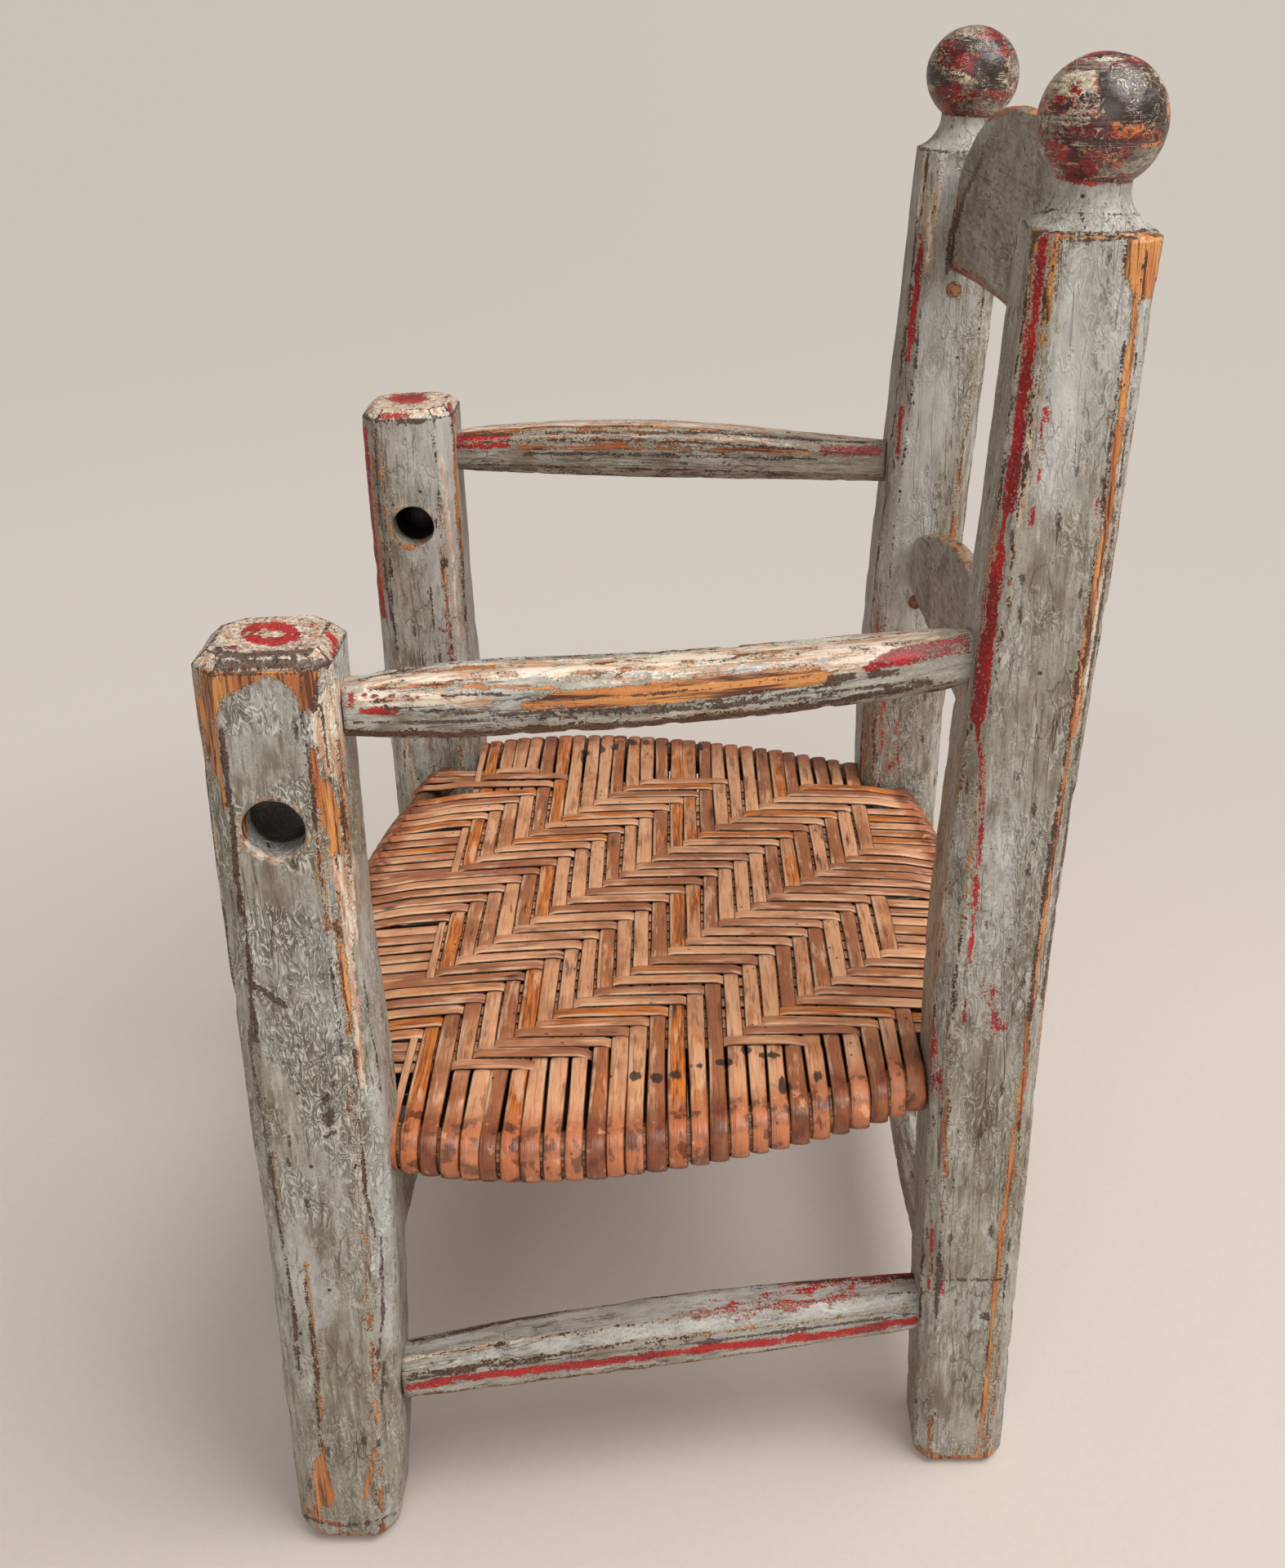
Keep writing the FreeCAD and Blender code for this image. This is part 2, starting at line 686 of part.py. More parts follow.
def lower_slat():
    half = of("lower_slat_half")
    rise = f"({of('lower_slat_crest')} - {of('lower_slat_high_end')})"
    return slat("lower_slat", [], [f"(({half} * {half} + {rise} * {rise}) / (2 * {rise}))"])


def slat_peg(name):
    length = f"{of('peg_length')} + {of('peg_proud')}"
    peg = rod(f"{name}_peg_left", of("peg_radius"), length,
              *peg_place(of(f"{name}_low_end")), *TO_LEFT)
    return keep(peg, f"{name}_peg_left")


# Splints: strips wound round the rails. Their shapes are set in code, from the same sheet,
# because no feature makes a strip that follows two bent rails.

LEVEL, THICKNESS, LIE_GAP = value(SEAT), value(of("splint_thickness")), value(of("splint_lie_gap"))


def crossing(along, slice_at, height):
    return Vector(along, slice_at, LEVEL + height)


def lengthwise(along, slice_at, height):
    return Vector(slice_at, along, LEVEL + height)


def round_end(place_of, slice_at, centre, tip, radius):
    # The strip's turn round a rail, from above it to below it.
    points = [place_of(centre, slice_at, radius), place_of(tip, slice_at, 0),
              place_of(centre, slice_at, -radius)]
    return Part.Arc(*points).toShape()


def ring_wire(place_of, slice_at, rails, radius):
    edges = []
    for centre, stretch, outward in rails:
        tip = centre + outward * radius * stretch
        edges.append(round_end(place_of, slice_at, centre, tip, radius))
    for height in (radius, -radius):
        ends = [place_of(centre, slice_at, height) for centre, stretch, outward in rails]
        edges.append(Part.LineSegment(*ends).toShape())
    return Part.Wire(Part.__sortEdges__(edges))


def hook_wire(slice_at, rail, back_end, inner, outer):
    centre, stretch, outward = rail
    edges = []
    for radius in (inner, outer):
        tip = centre + outward * radius * stretch
        edges.append(round_end(lengthwise, slice_at, centre, tip, radius))
        for height in (radius, -radius):
            start = lengthwise(centre, slice_at, height)
            edges.append(Part.LineSegment(start, lengthwise(back_end, slice_at, height)).toShape())
    for turn in (1, -1):
        start = lengthwise(back_end, slice_at, inner * turn)
        edges.append(Part.LineSegment(start, lengthwise(back_end, slice_at, outer * turn)).toShape())
    return Part.Wire(Part.__sortEdges__(edges))


def side_rail_at(along):
    # The rail's distance out, and how much its slant stretches a slice of it.
    bent = FRONT_BEND if along < value(PEAK_BACK) else BACK_BEND
    radius, out, back = (value(size) for size in bent[:3])
    reach = math.sqrt(radius * radius - (along - back) ** 2)
    return out + reach, radius / reach


def cross_rail_at(end, bow, outward, across):
    ring = value(cross_rail_ring(end, bow))
    reach = math.sqrt(ring * ring - across * across)
    return value(end[1]) + outward * (value(bow) + reach - ring), ring / reach, outward


def front_rail_at(across):
    return cross_rail_at(front_rail_end, of("front_rail_bow"), -1, across)


def back_rail_at(across):
    return cross_rail_at(back_rail_end, of("back_rail_bow"), 1, across)


def strip(wires_at, middle, width):
    # Inner and outer rings at the strip's two edges; the strip is what lies between.
    edges = [wires_at(middle + side * width / 2) for side in (-1, 1)]
    inner, outer = (Part.makeLoft(list(pair), True, True) for pair in zip(*edges))
    return outer.cut(inner)


def cross_splints():
    inner = value(of("side_rail_radius")) + LIE_GAP

    def rings(along):
        out, stretch = side_rail_at(along)
        rails = [(out, stretch, 1), (-out, stretch, -1)]
        return [ring_wire(crossing, along, rails, radius) for radius in (inner, inner + THICKNESS)]

    first, pitch = value(of("first_cross_splint_fore")), value(of("cross_splint_pitch"))
    width = value(of("cross_splint_width"))
    count = int(value(of("cross_splint_count")))
    return [strip(rings, index * pitch - first, width) for index in range(count)]


LONG_INNER = value(of("cross_rail_radius")) + LIE_GAP
LONG_PITCH, LONG_WIDTH = value(of("long_splint_pitch")), value(of("long_splint_width"))
LONG_COUNT = int(value(of("long_splint_count")))


def long_splints():
    def rings(across):
        rails = [front_rail_at(across), back_rail_at(across)]
        return [ring_wire(lengthwise, across, rails, radius)
                for radius in (LONG_INNER, LONG_INNER + THICKNESS)]

    middle = (LONG_COUNT - 1) / 2
    return [strip(rings, (index - middle) * LONG_PITCH, LONG_WIDTH) for index in range(LONG_COUNT)]


def corner_splints():
    step, back_limit = value(of("corner_splint_step")), value(of("corner_splint_back"))
    rail, strips = value(of("side_rail_radius")), []
    for index in range(int(value(of("corner_splint_count")))):
        across = (index + (LONG_COUNT + 1) / 2) * LONG_PITCH
        outer_edge = across + LONG_WIDTH / 2 + THICKNESS
        back_end = value(RAIL_FORE) + step
        while back_end < back_limit:
            out, stretch = side_rail_at(back_end + step)
            if out - rail * stretch < outer_edge:
                break
            back_end += step
        for side in (-1, 1):
            wires = [hook_wire(edge * side, front_rail_at(edge), back_end, LONG_INNER,
                               LONG_INNER + THICKNESS)
                     for edge in (across - LONG_WIDTH / 2, across + LONG_WIDTH / 2)]
            strips.append(Part.makeLoft(wires, True, True))
    return strips


def splint_node(label, strips):
    feature = doc.addObject("Part::Feature", label)
    feature.Shape = Part.makeCompound(strips)
    return keep(feature, label)


through_post, blind_post = front_post()
left_pieces = [
    back_post(),
    side_bar("arm_left", arm_front, arm_back, ARM, ARM_HALVES),
    side_bar("stretcher_left", low_front, low_back, SIDE_LOW, BAR_HALVES),
    side_rail(),
    slat_peg("upper_slat"),
    slat_peg("lower_slat"),
]
doc.recompute()
for left in left_pieces:
    mirrored(left, left.Label.replace("_left", "_right"))
mirrored(blind_post, "front_post_right")
upper_slat()
lower_slat()
cross_bar("stretcher_front", front_low, BAR_HALVES)
cross_bar("stretcher_back", back_low, BAR_HALVES)
cross_rail("seat_rail_front", front_rail_end, of("front_rail_bow"), True)
cross_rail("seat_rail_back", back_rail_end, of("back_rail_bow"), False)
splint_node("cross_splints", cross_splints())
splint_node("long_splints", long_splints())
splint_node("corner_splints", corner_splints())
doc.recompute()

for feature in doc.Objects:
    for state in ("Invalid", "Error"):
        assert state not in feature.State, f"{feature.Label} is {feature.State}"

os.makedirs("parts", exist_ok=True)
for node in nodes:
    assert not node.Shape.isNull() and node.Shape.isValid(), f"{node.Label} has no valid shape"
    node.Shape.exportStep(f"parts/{node.Label}.step")
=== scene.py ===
import math

import bmesh
import bpy
import numpy as np
from mathutils import Matrix, Vector


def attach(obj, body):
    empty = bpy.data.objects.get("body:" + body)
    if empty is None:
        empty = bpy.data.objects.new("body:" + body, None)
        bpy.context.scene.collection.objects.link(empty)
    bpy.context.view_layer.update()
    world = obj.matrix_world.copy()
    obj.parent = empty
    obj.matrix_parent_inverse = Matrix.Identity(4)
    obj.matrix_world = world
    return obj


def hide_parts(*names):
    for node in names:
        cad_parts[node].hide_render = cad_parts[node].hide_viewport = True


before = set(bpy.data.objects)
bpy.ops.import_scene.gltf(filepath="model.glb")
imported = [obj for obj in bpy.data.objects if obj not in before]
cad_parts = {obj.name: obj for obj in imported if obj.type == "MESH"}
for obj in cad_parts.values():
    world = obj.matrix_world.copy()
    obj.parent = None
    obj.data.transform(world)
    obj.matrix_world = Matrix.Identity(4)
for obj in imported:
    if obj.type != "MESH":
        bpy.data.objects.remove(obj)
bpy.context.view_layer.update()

# Sizes are written in millimetres and drawn in metres
MM = 0.001

# Camera, and the photograph's frame

FRAME_WIDTH, FRAME_HEIGHT, FOCAL_PIXELS = 1573, 1920, 2088
CAMERA_PLACE = np.array([761.1, 4.6, 637.3])
YAW, PITCH, ROLL = np.radians([-1.55, 25.58, -1.53])

forward = np.array([-math.cos(PITCH) * math.cos(YAW), math.cos(PITCH) * math.sin(YAW),
                    -math.sin(PITCH)])
level = np.cross(forward, [0, 0, 1])
level /= np.linalg.norm(level)
upright = np.cross(level, forward)
to_right = level * math.cos(ROLL) + upright * math.sin(ROLL)
to_top = upright * math.cos(ROLL) - level * math.sin(ROLL)


def make_camera():
    lens = bpy.data.cameras.new("camera")
    lens.sensor_fit = "VERTICAL"
    lens.angle = 2 * math.atan(FRAME_HEIGHT / 2 / FOCAL_PIXELS)
    lens.clip_start, lens.clip_end = 0.02, 40
    camera = bpy.data.objects.new("camera", lens)
    turn = Matrix([to_right, to_top, -forward]).transposed().to_4x4()
    camera.matrix_world = Matrix.Translation(Vector(CAMERA_PLACE * MM)) @ turn
    bpy.context.scene.collection.objects.link(camera)
    bpy.context.scene.camera = camera


def seen(points):
    away = points - CAMERA_PLACE
    depth = away @ forward
    return (FRAME_WIDTH / 2 + FOCAL_PIXELS * (away @ to_right) / depth,
            FRAME_HEIGHT / 2 - FOCAL_PIXELS * (away @ to_top) / depth)


# Small helpers for shapes

def full_turn(count):
    return np.linspace(0, 2 * math.pi, count, endpoint=False)


def drift(points, size, seed):
    # A smooth wander between about -1 and 1, one swing for each size
    chance = np.random.default_rng(seed)
    total = np.zeros(len(points))
    for swing in range(7):
        way = chance.normal(size=3)
        way *= 2 * math.pi * chance.uniform(0.6, 1.5) / size / np.linalg.norm(way)
        total += np.sin(points @ way + chance.uniform(0, 2 * math.pi))
    return total / 3.2


def rise(amount, low, high):
    share = np.clip((amount - low) / (high - low), 0, 1)
    return share * share * (3 - 2 * share)


def close_to(distance, reach):
    # 1 at no distance, falling to 0 at the reach
    return np.clip(1 - np.abs(distance) / reach, 0, 1)


def new_object(name, mesh):
    piece = bpy.data.objects.new(name, mesh)
    bpy.context.scene.collection.objects.link(piece)
    return piece


def new_mesh(name, points, edges, faces):
    mesh = bpy.data.meshes.new(name)
    mesh.from_pydata([tuple(point) for point in np.array(points) * MM], edges, faces)
    return new_object(name, mesh)


def face_outwards(piece):
    shell = bmesh.new()
    shell.from_mesh(piece.data)
    bmesh.ops.recalc_face_normals(shell, faces=shell.faces)
    shell.to_mesh(piece.data)
    shell.free()
    piece.data.shade_smooth()


def band_faces(count, around):
    # The faces that join rings of points, each to the one before it
    steps = [(step, (step + 1) % around) for step in range(around)]
    return [(ring * around + step, ring * around + beside, (ring + 1) * around + beside,
             (ring + 1) * around + step) for ring in range(count - 1) for step, beside in steps]


def tube(name, rings):
    # Rings of points joined in turn, with a closed fan at each end
    rings = np.array(rings)
    count, around = rings.shape[:2]
    points = np.vstack([rings.reshape(-1, 3), rings[0].mean(axis=0), rings[-1].mean(axis=0)])
    faces = band_faces(count, around)
    for centre, start in ((count * around, 0), (count * around + 1, (count - 1) * around)):
        faces += [(centre, start + step, start + (step + 1) % around) for step in range(around)]
    piece = new_mesh(name, points, [], faces)
    face_outwards(piece)
    return piece


def places(piece):
    points = np.empty(len(piece.data.vertices) * 3)
    piece.data.vertices.foreach_get("co", points)
    return points.reshape(-1, 3) / MM


def outward_ways(piece):
    ways = np.empty(len(piece.data.vertices) * 3)
    piece.data.vertex_normals.foreach_get("vector", ways)
    return ways.reshape(-1, 3)


def shift(piece, moved):
    piece.data.vertices.foreach_set("co", (moved * MM).ravel())
    piece.data.update()


def store(piece, name, amounts):
    kind, field = ("FLOAT", "value") if amounts.ndim == 1 else ("FLOAT_VECTOR", "vector")
    attribute = piece.data.attributes.new(name, kind, "POINT")
    attribute.data.foreach_set(field, amounts.astype(np.float32).ravel())


def evaluated_mesh(piece, modifier):
    # Swaps the piece's mesh for what the modifier makes of it
    bpy.context.view_layer.update()
    result = bpy.data.meshes.new_from_object(piece.evaluated_get(bpy.context.evaluated_depsgraph_get()))
    piece.modifiers.remove(modifier)
    plain, piece.data = piece.data, result
    bpy.data.meshes.remove(plain)


def octagon_ring(half, corner_share, wide, narrow, softness):
    # Points round an octagon whose arrises are slightly rounded. wide and narrow: points to a side
    flat = half * (1 - corner_share)
    corners = np.array([(half, -flat), (half, flat), (flat, half), (-flat, half),
                        (-half, flat), (-half, -flat), (-flat, -half), (flat, -half)])
    ring = []
    for index in range(8):
        start, end = corners[index], corners[(index + 1) % 8]
        edge = min(softness / np.linalg.norm(end - start), 0.3)
        ring.append(start - 0.22 * softness * start / np.linalg.norm(start))
        for share in np.linspace(edge, 1 - edge, wide if index % 2 == 0 else narrow):
            ring.append(start + (end - start) * share)
    return np.array(ring)


def arris_nearness(across, half, corner_share, reach):
    # 1 on an arris of the octagon, 0 further off than the reach
    flat = half * (1 - corner_share)
    u, v = np.abs(across[:, 0]), np.abs(across[:, 1])
    return close_to(np.minimum(np.hypot(u - half, v - flat), np.hypot(u - flat, v - half)), reach)


# Finishes

def colour(red, green, blue):
    parts = []
    for part in (red / 255, green / 255, blue / 255):
        parts.append(part / 12.92 if part <= 0.04045 else ((part + 0.055) / 1.055) ** 2.4)
    return (*parts, 1)


def feed(tree, socket, amount):
    amount = getattr(amount, "socket", amount)
    if isinstance(amount, bpy.types.NodeSocket):
        tree.links.new(amount, socket)
    else:
        socket.default_value = amount


def add_node(tree, kind, given=None, **settings):
    # A node, its settings, and what goes into its sockets
    node = tree.nodes.new(kind)
    for name, setting in settings.items():
        setattr(node, name, setting)
    for name, amount in (given or {}).items():
        feed(tree, node.inputs[name], amount)
    return node


class Amount:
    # A value in a finish, with plain arithmetic
    def __init__(self, finish, socket):
        self.finish, self.socket = finish, socket

    def __add__(self, other):
        return self.finish.work("ADD", self, other)

    def __sub__(self, other):
        return self.finish.work("SUBTRACT", self, other)

    def __rsub__(self, other):
        return self.finish.work("SUBTRACT", other, self)

    def __mul__(self, other):
        return self.finish.work("MULTIPLY", self, other)

    def rise(self, low, high, start=0.0, end=1.0):
        return self.finish.out("ShaderNodeMapRange", "Result", {
            "Value": self, "From Min": low, "From Max": high, "To Min": start, "To Max": end},
            interpolation_type="SMOOTHSTEP")


class Finish:
    # A material whose tint is laid on coat by coat. Scales are in swings to a metre
    def __init__(self, name):
        self.material = bpy.data.materials.new(name)
        self.material.use_nodes = True
        self.tree = self.material.node_tree
        self.tree.nodes.clear()
        self.shader = add_node(self.tree, "ShaderNodeBsdfPrincipled")
        self.ending = add_node(self.tree, "ShaderNodeOutputMaterial", {"Surface": self.shader.outputs[0]})

    def out(self, kind, output, given=None, **settings):
        return Amount(self, add_node(self.tree, kind, given, **settings).outputs[output])

    def work(self, operation, *amounts):
        return self.out("ShaderNodeMath", 0, dict(enumerate(amounts)), operation=operation)

    def attribute(self, name, output="Fac"):
        return self.out("ShaderNodeAttribute", output, attribute_name=name)

    def mix(self, share, *tints):
        first, second = [tint if isinstance(tint, Amount) else colour(*tint) for tint in tints]
        return self.out("ShaderNodeMix", 2, {0: share, 6: first, 7: second}, data_type="RGBA")

    def lay(self, share, tint):
        self.tint = self.mix(share, self.tint, tint)

    def stretch(self, vector, along, across=1):
        return self.out("ShaderNodeMapping", 0, {"Vector": vector, "Scale": (across, across, along)})

    def noise(self, vector, scale, detail=2.0, roughness=0.5, distortion=0.0, output="Fac"):
        return self.out("ShaderNodeTexNoise", output, {
            "Vector": vector, "Scale": scale, "Detail": detail, "Roughness": roughness,
            "Distortion": distortion})

    def cells(self, vector, scale, feature="F1", output="Distance"):
        return self.out("ShaderNodeTexVoronoi", output, {"Vector": vector, "Scale": scale},
                        feature=feature)

    def specks(self, vector, scale, wide, narrow, low, high):
        # Round spots in some of the cells
        chosen = self.cells(vector, scale, "F1", "Color").rise(low, high)
        return self.cells(vector, scale).rise(wide, narrow) * chosen

    def warped(self, vector, scale, amount):
        # The vector, pushed about by a noise
        def step(operation, given):
            return self.out("ShaderNodeVectorMath", 0, given, operation=operation)

        push = self.noise(vector, scale, output="Color")
        push = step("SCALE", {0: step("SUBTRACT", {0: push, 1: (0.5, 0.5, 0.5)}), "Scale": amount})
        return step("ADD", {0: vector, 1: push})

    def done(self, roughness, height, depth, strength=1.0):
        bump = self.out("ShaderNodeBump", 0, {"Height": height, "Strength": strength, "Distance": depth})
        for name, amount in (("Base Color", self.tint), ("Normal", bump), ("Roughness", roughness)):
            feed(self.tree, self.shader.inputs[name], amount)
        return self.material


def wood_tint(f, grain, light, middle, dark):
    # Long fibres along the grain, with darker rings
    streak = f.noise(f.stretch(grain, 0.05), 460, 4.0, 0.65)
    broad = f.noise(f.stretch(grain, 0.1), 110, 3.0, 0.6)
    tint = f.mix(broad.rise(0.38, 0.62), light, middle)
    return f.mix(streak.rise(0.46, 0.62), tint, dark), streak


def putty_paint():
    # Grey-green paint over cream, red and old varnish, worn through to the wood
    f = Finish("old putty paint")
    grain = f.attribute("grain", "Vector")
    tall = f.stretch(grain, 0.42)
    middling = f.noise(tall, 72, 4.0, 0.6)
    streak = f.noise(f.stretch(grain, 0.12), 400, 4.0, 0.66)
    fine = f.noise(grain, 900, 3.0, 0.65)
    ragged = f.noise(tall, 250, 5.0, 0.72)
    rough_edge = (ragged - 0.5) * 1.5 + (fine - 0.5) * 0.9 + (streak - 0.5) * 0.5

    # Putty layer
    f.tint = f.mix(f.noise(grain, 18, 3.0).rise(0.38, 0.6), (144, 138, 124), (165, 162, 153))
    f.lay(middling.rise(0.5, 0.68), (118, 108, 92))
    f.lay(middling.rise(0.42, 0.3), (182, 179, 170))
    f.lay(streak.rise(0.5, 0.62) * 0.7, (104, 93, 78))
    f.lay(streak.rise(0.44, 0.34) * 0.5, (196, 193, 184))
    f.lay(fine.rise(0.52, 0.64) * 0.4, (104, 96, 82))

    # Curls and ridges that the brush left in thick paint, with painted highlights on the ridges and painted
    # shade between them
    wave = f.work("SINE", f.noise(f.warped(tall, 230, 0.005), 190, 2.0, 0.5, 0.8) * 44)
    thick = f.noise(grain, 44).rise(0.4, 0.54) * f.attribute("curl")
    f.lay(wave.rise(0.62, 0.96) * thick * 0.75, (222, 220, 212))
    f.lay(wave.rise(-0.55, -0.96) * thick * 0.75, (66, 58, 48))

    # Scratches along the grain, crackle, ticks and worm holes
    scored = f.work("ABSOLUTE", f.noise(f.stretch(grain, 0.035), 230) - 0.56)
    score = scored.rise(0.012, 0.003) * f.noise(tall, 34).rise(0.46, 0.54)
    f.lay(score * 0.85, (92, 54, 34))
    edge = f.cells(f.warped(tall, 240, 0.004), 150, "DISTANCE_TO_EDGE")
    crack = edge.rise(0.04, 0.01) * f.noise(tall, 60).rise(0.52, 0.6)
    f.lay(crack * 0.5, (82, 68, 54))
    tick = f.specks(f.stretch(f.warped(grain, 500, 0.003), 0.22), 190, 0.2, 0.12, 0.42, 0.5)
    f.lay(tick * 0.85, (70, 54, 42))
    hole = f.specks(grain, 62, 0.06, 0.04, 0.5, 0.55)

    # Pale and cream paint
    pale = (f.attribute("pale") + rough_edge * 0.7).rise(0.42, 0.62)
    f.lay(pale * 0.54, f.mix(middling.rise(0.36, 0.64), (206, 207, 206), (180, 180, 176)))
    cream = (f.attribute("cream") + rough_edge).rise(0.48, 0.53)
    f.lay(cream * 0.9, f.mix(streak.rise(0.42, 0.62), (224, 209, 190), (190, 142, 108)))

    # Red paint, with a cream rim where the putty has chipped from it
    red_field = f.attribute("red") + rough_edge
    rim = red_field.rise(0.38, 0.45) * red_field.rise(0.52, 0.5)
    f.lay(rim * 0.8, (206, 196, 180))
    red = red_field.rise(0.485, 0.51)
    red_tint = f.mix(middling.rise(0.4, 0.62), (172, 19, 20), (118, 12, 15))
    f.lay(red, f.mix(fine.rise(0.55, 0.64) * 0.5, red_tint, (196, 110, 98)))

    # Bare wood, with cream at the paint's broken edge and a painted shadow line along that edge
    bare_field = f.attribute("bare") + rough_edge
    bare_rim = bare_field.rise(0.34, 0.42) * bare_field.rise(0.5, 0.47)
    f.lay(bare_rim * 0.75, (208, 196, 174))
    bare = bare_field.rise(0.485, 0.51)
    f.lay(bare, wood_tint(f, grain, (212, 146, 84), (176, 104, 56), (88, 46, 27))[0])
    # Painted shadow along the chip's edge
    f.lay(bare_field.rise(0.45, 0.48) * bare_field.rise(0.56, 0.52) * 0.8, (58, 32, 22))

    # Old dark varnish and dirt. Inside the bore and on the arms' undersides the same dark layer is painted
    # shade
    dark = (f.attribute("dark") + rough_edge).rise(0.48, 0.53)
    f.lay(dark * 0.92, f.mix(fine.rise(0.45, 0.6), (92, 62, 46), (44, 31, 27)))
    f.lay(hole * 0.9, (40, 28, 22))
    # Near-black painted shade on the bore's upper wall and deep inside it
    f.lay(f.attribute("deep") * 0.92, (15, 12, 11))

    # Relief: the paint stands above the red, and the red above the wood
    worn = f.work("MAXIMUM", f.work("MAXIMUM", red * 0.6, bare), dark * 0.7)
    height = (wave * thick * ((1 - worn) * 0.3) + middling * 0.9 + streak * 0.35 + fine * 0.3
              - crack * 0.4 - tick * 0.6 - score * 0.4 - hole * 1.4 - worn * 0.8
              + f.work("MAXIMUM", rim, bare_rim) * 0.3)
    return f.done(fine.rise(0.35, 0.7, 0.34, 0.56) - red * 0.06, height, 0.0008)


def ball_paint():
    # Lathe rings of red, black, cream and grey over orange wood
    f = Finish("worn finial paint")
    grain = f.attribute("grain", "Vector")
    ring = f.stretch(f.warped(grain, 120, 0.004), 1.7)
    broad = f.noise(grain, 60, 4.0, 0.65)
    band = f.noise(ring, 110, 4.0, 0.65, 0.4)
    fine = f.noise(ring, 420, 4.0, 0.7)
    ragged = (f.noise(ring, 120, 5.0, 0.72) - 0.5) * 1.7 + (fine - 0.5) * 0.5
    wave = f.work("SINE", f.noise(f.warped(grain, 200, 0.007), 170, 2.0, 0.5, 1.2) * 40)

    f.tint = f.mix(broad.rise(0.4, 0.6), (158, 150, 136), (112, 100, 86))
    f.lay(fine.rise(0.5, 0.62) * 0.7, (78, 62, 52))
    cream = (f.attribute("cream") + ragged).rise(0.5, 0.56)
    f.lay(cream, f.mix(fine.rise(0.42, 0.6), (206, 196, 176), (150, 136, 114)))
    bare = (f.attribute("bare") + ragged).rise(0.49, 0.53)
    f.lay(bare, f.mix(fine.rise(0.4, 0.6), (214, 120, 56), (112, 48, 26)))
    red = (f.attribute("red") - ragged * 0.9).rise(0.47, 0.51)
    f.lay(red, f.mix(band.rise(0.42, 0.6), (138, 15, 18), (72, 9, 13)))
    dark = (f.attribute("dark") + ragged * 0.55).rise(0.48, 0.53)
    f.lay(dark * 0.95, f.mix(band.rise(0.4, 0.62), (24, 19, 20), (50, 34, 28)))

    # Dashes round the ball, pale curls, dark lathe lines and worm holes
    dash = f.noise(f.stretch(grain, 3.4, 0.4), 300, 3.0, 0.7)
    dashed = f.noise(grain, 70).rise(0.5, 0.6)
    f.lay(dash.rise(0.57, 0.62) * dashed * 0.6, (200, 186, 158))
    f.lay(dash.rise(0.43, 0.38) * dashed * 0.85, (48, 28, 26))
    curled = f.noise(grain, 95).rise(0.42, 0.54)
    f.lay(wave.rise(0.82, 0.97) * curled * 0.7, (204, 184, 152))
    f.lay(wave.rise(-0.7, -0.95) * curled * 0.7, (64, 34, 30))
    turning = f.noise(f.stretch(grain, 5, 0.1), 150).rise(0.58, 0.64) * broad.rise(0.42, 0.56)
    f.lay(turning * 0.75, (48, 26, 24))
    hole = f.specks(grain, 90, 0.07, 0.05, 0.5, 0.55)
    f.lay(hole * 0.85, (40, 24, 20))

    height = (band * 0.7 + fine * 0.4 + wave * curled * 0.15 - turning * 0.5 + dark * 0.3
              - bare * 0.4 - hole * 1.5)
    f.shader.inputs["Coat Weight"].default_value = 0.3
    f.shader.inputs["Coat Roughness"].default_value = 0.22
    return f.done(fine.rise(0.35, 0.7, 0.24, 0.42) - dark * 0.06, height, 0.0006, 0.9)


def rail_wood():
    f = Finish("bare rail wood")
    grain = f.attribute("grain", "Vector")
    f.tint, fibre = wood_tint(f, grain, (160, 108, 70), (122, 78, 48), (60, 38, 28))
    dirt = f.noise(grain, 60, 4.0, 0.6)
    f.lay(dirt.rise(0.5, 0.66) * 0.7, (60, 42, 32))
    crack = f.cells(f.stretch(grain, 0.07), 260, "DISTANCE_TO_EDGE").rise(0.05, 0.01)
    f.lay(crack * 0.5, (40, 26, 20))
    height = fibre * 0.8 + dirt * 0.5 - crack * 0.8
    return f.done(dirt.rise(0.3, 0.7, 0.42, 0.62), height, 0.0005, 0.8)


